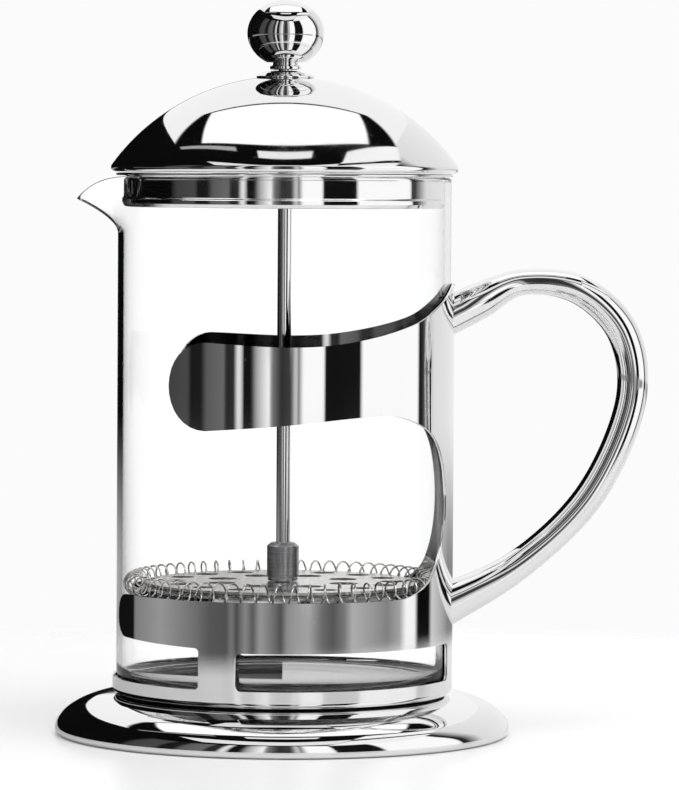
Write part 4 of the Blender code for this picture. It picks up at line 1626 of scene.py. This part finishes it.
    def all_round(self, bench: Bench, around: Field, stops: tuple[Pair, ...]) -> Field:
        """Draw levels round the horizon.

        Args:
            bench: The world's bench.
            around: 0 to 1 from behind, by the -X side, the front and the +X side, back to behind.
            stops: Angles from the front, in degrees, and their levels.

        Returns:
            The level in each direction.
        """
        ramp = [((angle + 180) / 360, level) for angle, level in stops]
        return bench.split(bench.add("ShaderNodeValToRGB", {"stops": ramp}, {0: around}))[0]

    @staticmethod
    def within(value: Field, low: float, high: float, soft: float = 0.008) -> Field:
        """Return 1 between two values, with soft ends."""
        return value.above(low - soft, low + soft) * (1.0 - value.above(high - soft, high + soft))

    def ceiling(self, side: Field, back: Field) -> Field:
        """Draw the ceiling: a large white panel in a dark surround, and white towards the back.

        Args:
            side: Distance to the +X side for each unit of height.
            back: Distance to the +Y side for each unit of height.

        Returns:
            The ceiling's brightness.
        """
        away = side.function("ABSOLUTE")
        deep = back - side * side * self.bow

        inside = 1.0 - away.above(*self.back_edge)
        past_wall = away.above(*self.wall_edge)
        panel = 1.0 - (away + deep * self.panel_lean).above(*self.panel_edge)
        lit = panel * self.within(deep, *self.panel_depth) * self.panel_level
        wall = (1.0 - past_wall) * deep.above(0.61, 0.63)
        slope = (deep + away * 2.5).above(2.03, 2.06) * past_wall * inside
        right = side.above(*self.back_edge) * (deep - side * 0.1).above(-0.12, -0.08)
        flank = side.above(0.45, 0.47) * (1.0 - deep.above(-0.57, -0.55))
        lit = lit + (wall + slope + right + flank) * self.back_level
        patch = self.within(side, 0.45, 1.05) * deep.above(-0.46, -0.44)
        lit = lit + patch * (1.0 - (deep - side * 0.44).above(-0.43, -0.41))
        for across, along, level in self.strips:
            lit = lit + self.within(side, *across) * self.within(deep, *along) * level
        return lit.function("MINIMUM", self.panel_level) + self.dark_level

    def lamps(self) -> None:
        """Hang the soft lamps."""
        for name, place, size, power in self.lamp_plan:
            data = bpy.data.lights.new(name, "AREA")
            data.shape = "DISK"
            data.size = size
            data.energy = power
            lamp = stand(name, data)
            lamp.location = place
            way = Vector(self.lamp_target) - Vector(place)
            lamp.rotation_euler = way.to_track_quat("-Z", "Y").to_euler()
            lamp.visible_glossy = False


def finishes(centre: Vector) -> dict[Slot, bpy.types.Material]:
    """Make every finish.

    Args:
        centre: The press's middle, about which patterns lie.

    Returns:
        The material of each slot.
    """
    satin = WorkedSteel(
        centre,
        "satin steel",
        Grain.TURNED,
        bright=(0.56, 0.56, 0.57),
        dull=(0.34, 0.34, 0.36),
        roughness=0.26,
    )
    spring = WorkedSteel(
        centre,
        "bright spring steel",
        Grain.ROLLED,
        bright=(0.80, 0.79, 0.77),
        dull=(0.62, 0.61, 0.60),
        roughness=0.16,
    )
    return {
        Slot.MIRROR: PolishedSteel(centre).make(),
        Slot.SATIN: satin.make(),
        Slot.SPRING: spring.make(),
        Slot.WOVEN: WireCloth(centre).make(),
        Slot.GLASS: ClearGlass(centre).make(),
        Slot.NYLON: MouldedNylon(centre).make(),
    }


def main() -> None:
    """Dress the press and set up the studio."""
    logging.basicConfig(level=logging.INFO, format="%(name)s: %(message)s")
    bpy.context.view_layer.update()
    low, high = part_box("plunger_rod")
    axis_x = (low.x + high.x) / 2
    shop = Workshop(axis_x, frame["nodes"], finishes(Vector((axis_x, 0.0, 0.0))))
    for part in (SaucerBase, CarrierFrame, LoopHandle, GlassBeaker, Lid, Ferrule, Knob, Plunger):
        part().build(shop)
    Studio(axis_x).build()


if __name__ == "__main__":
    main()
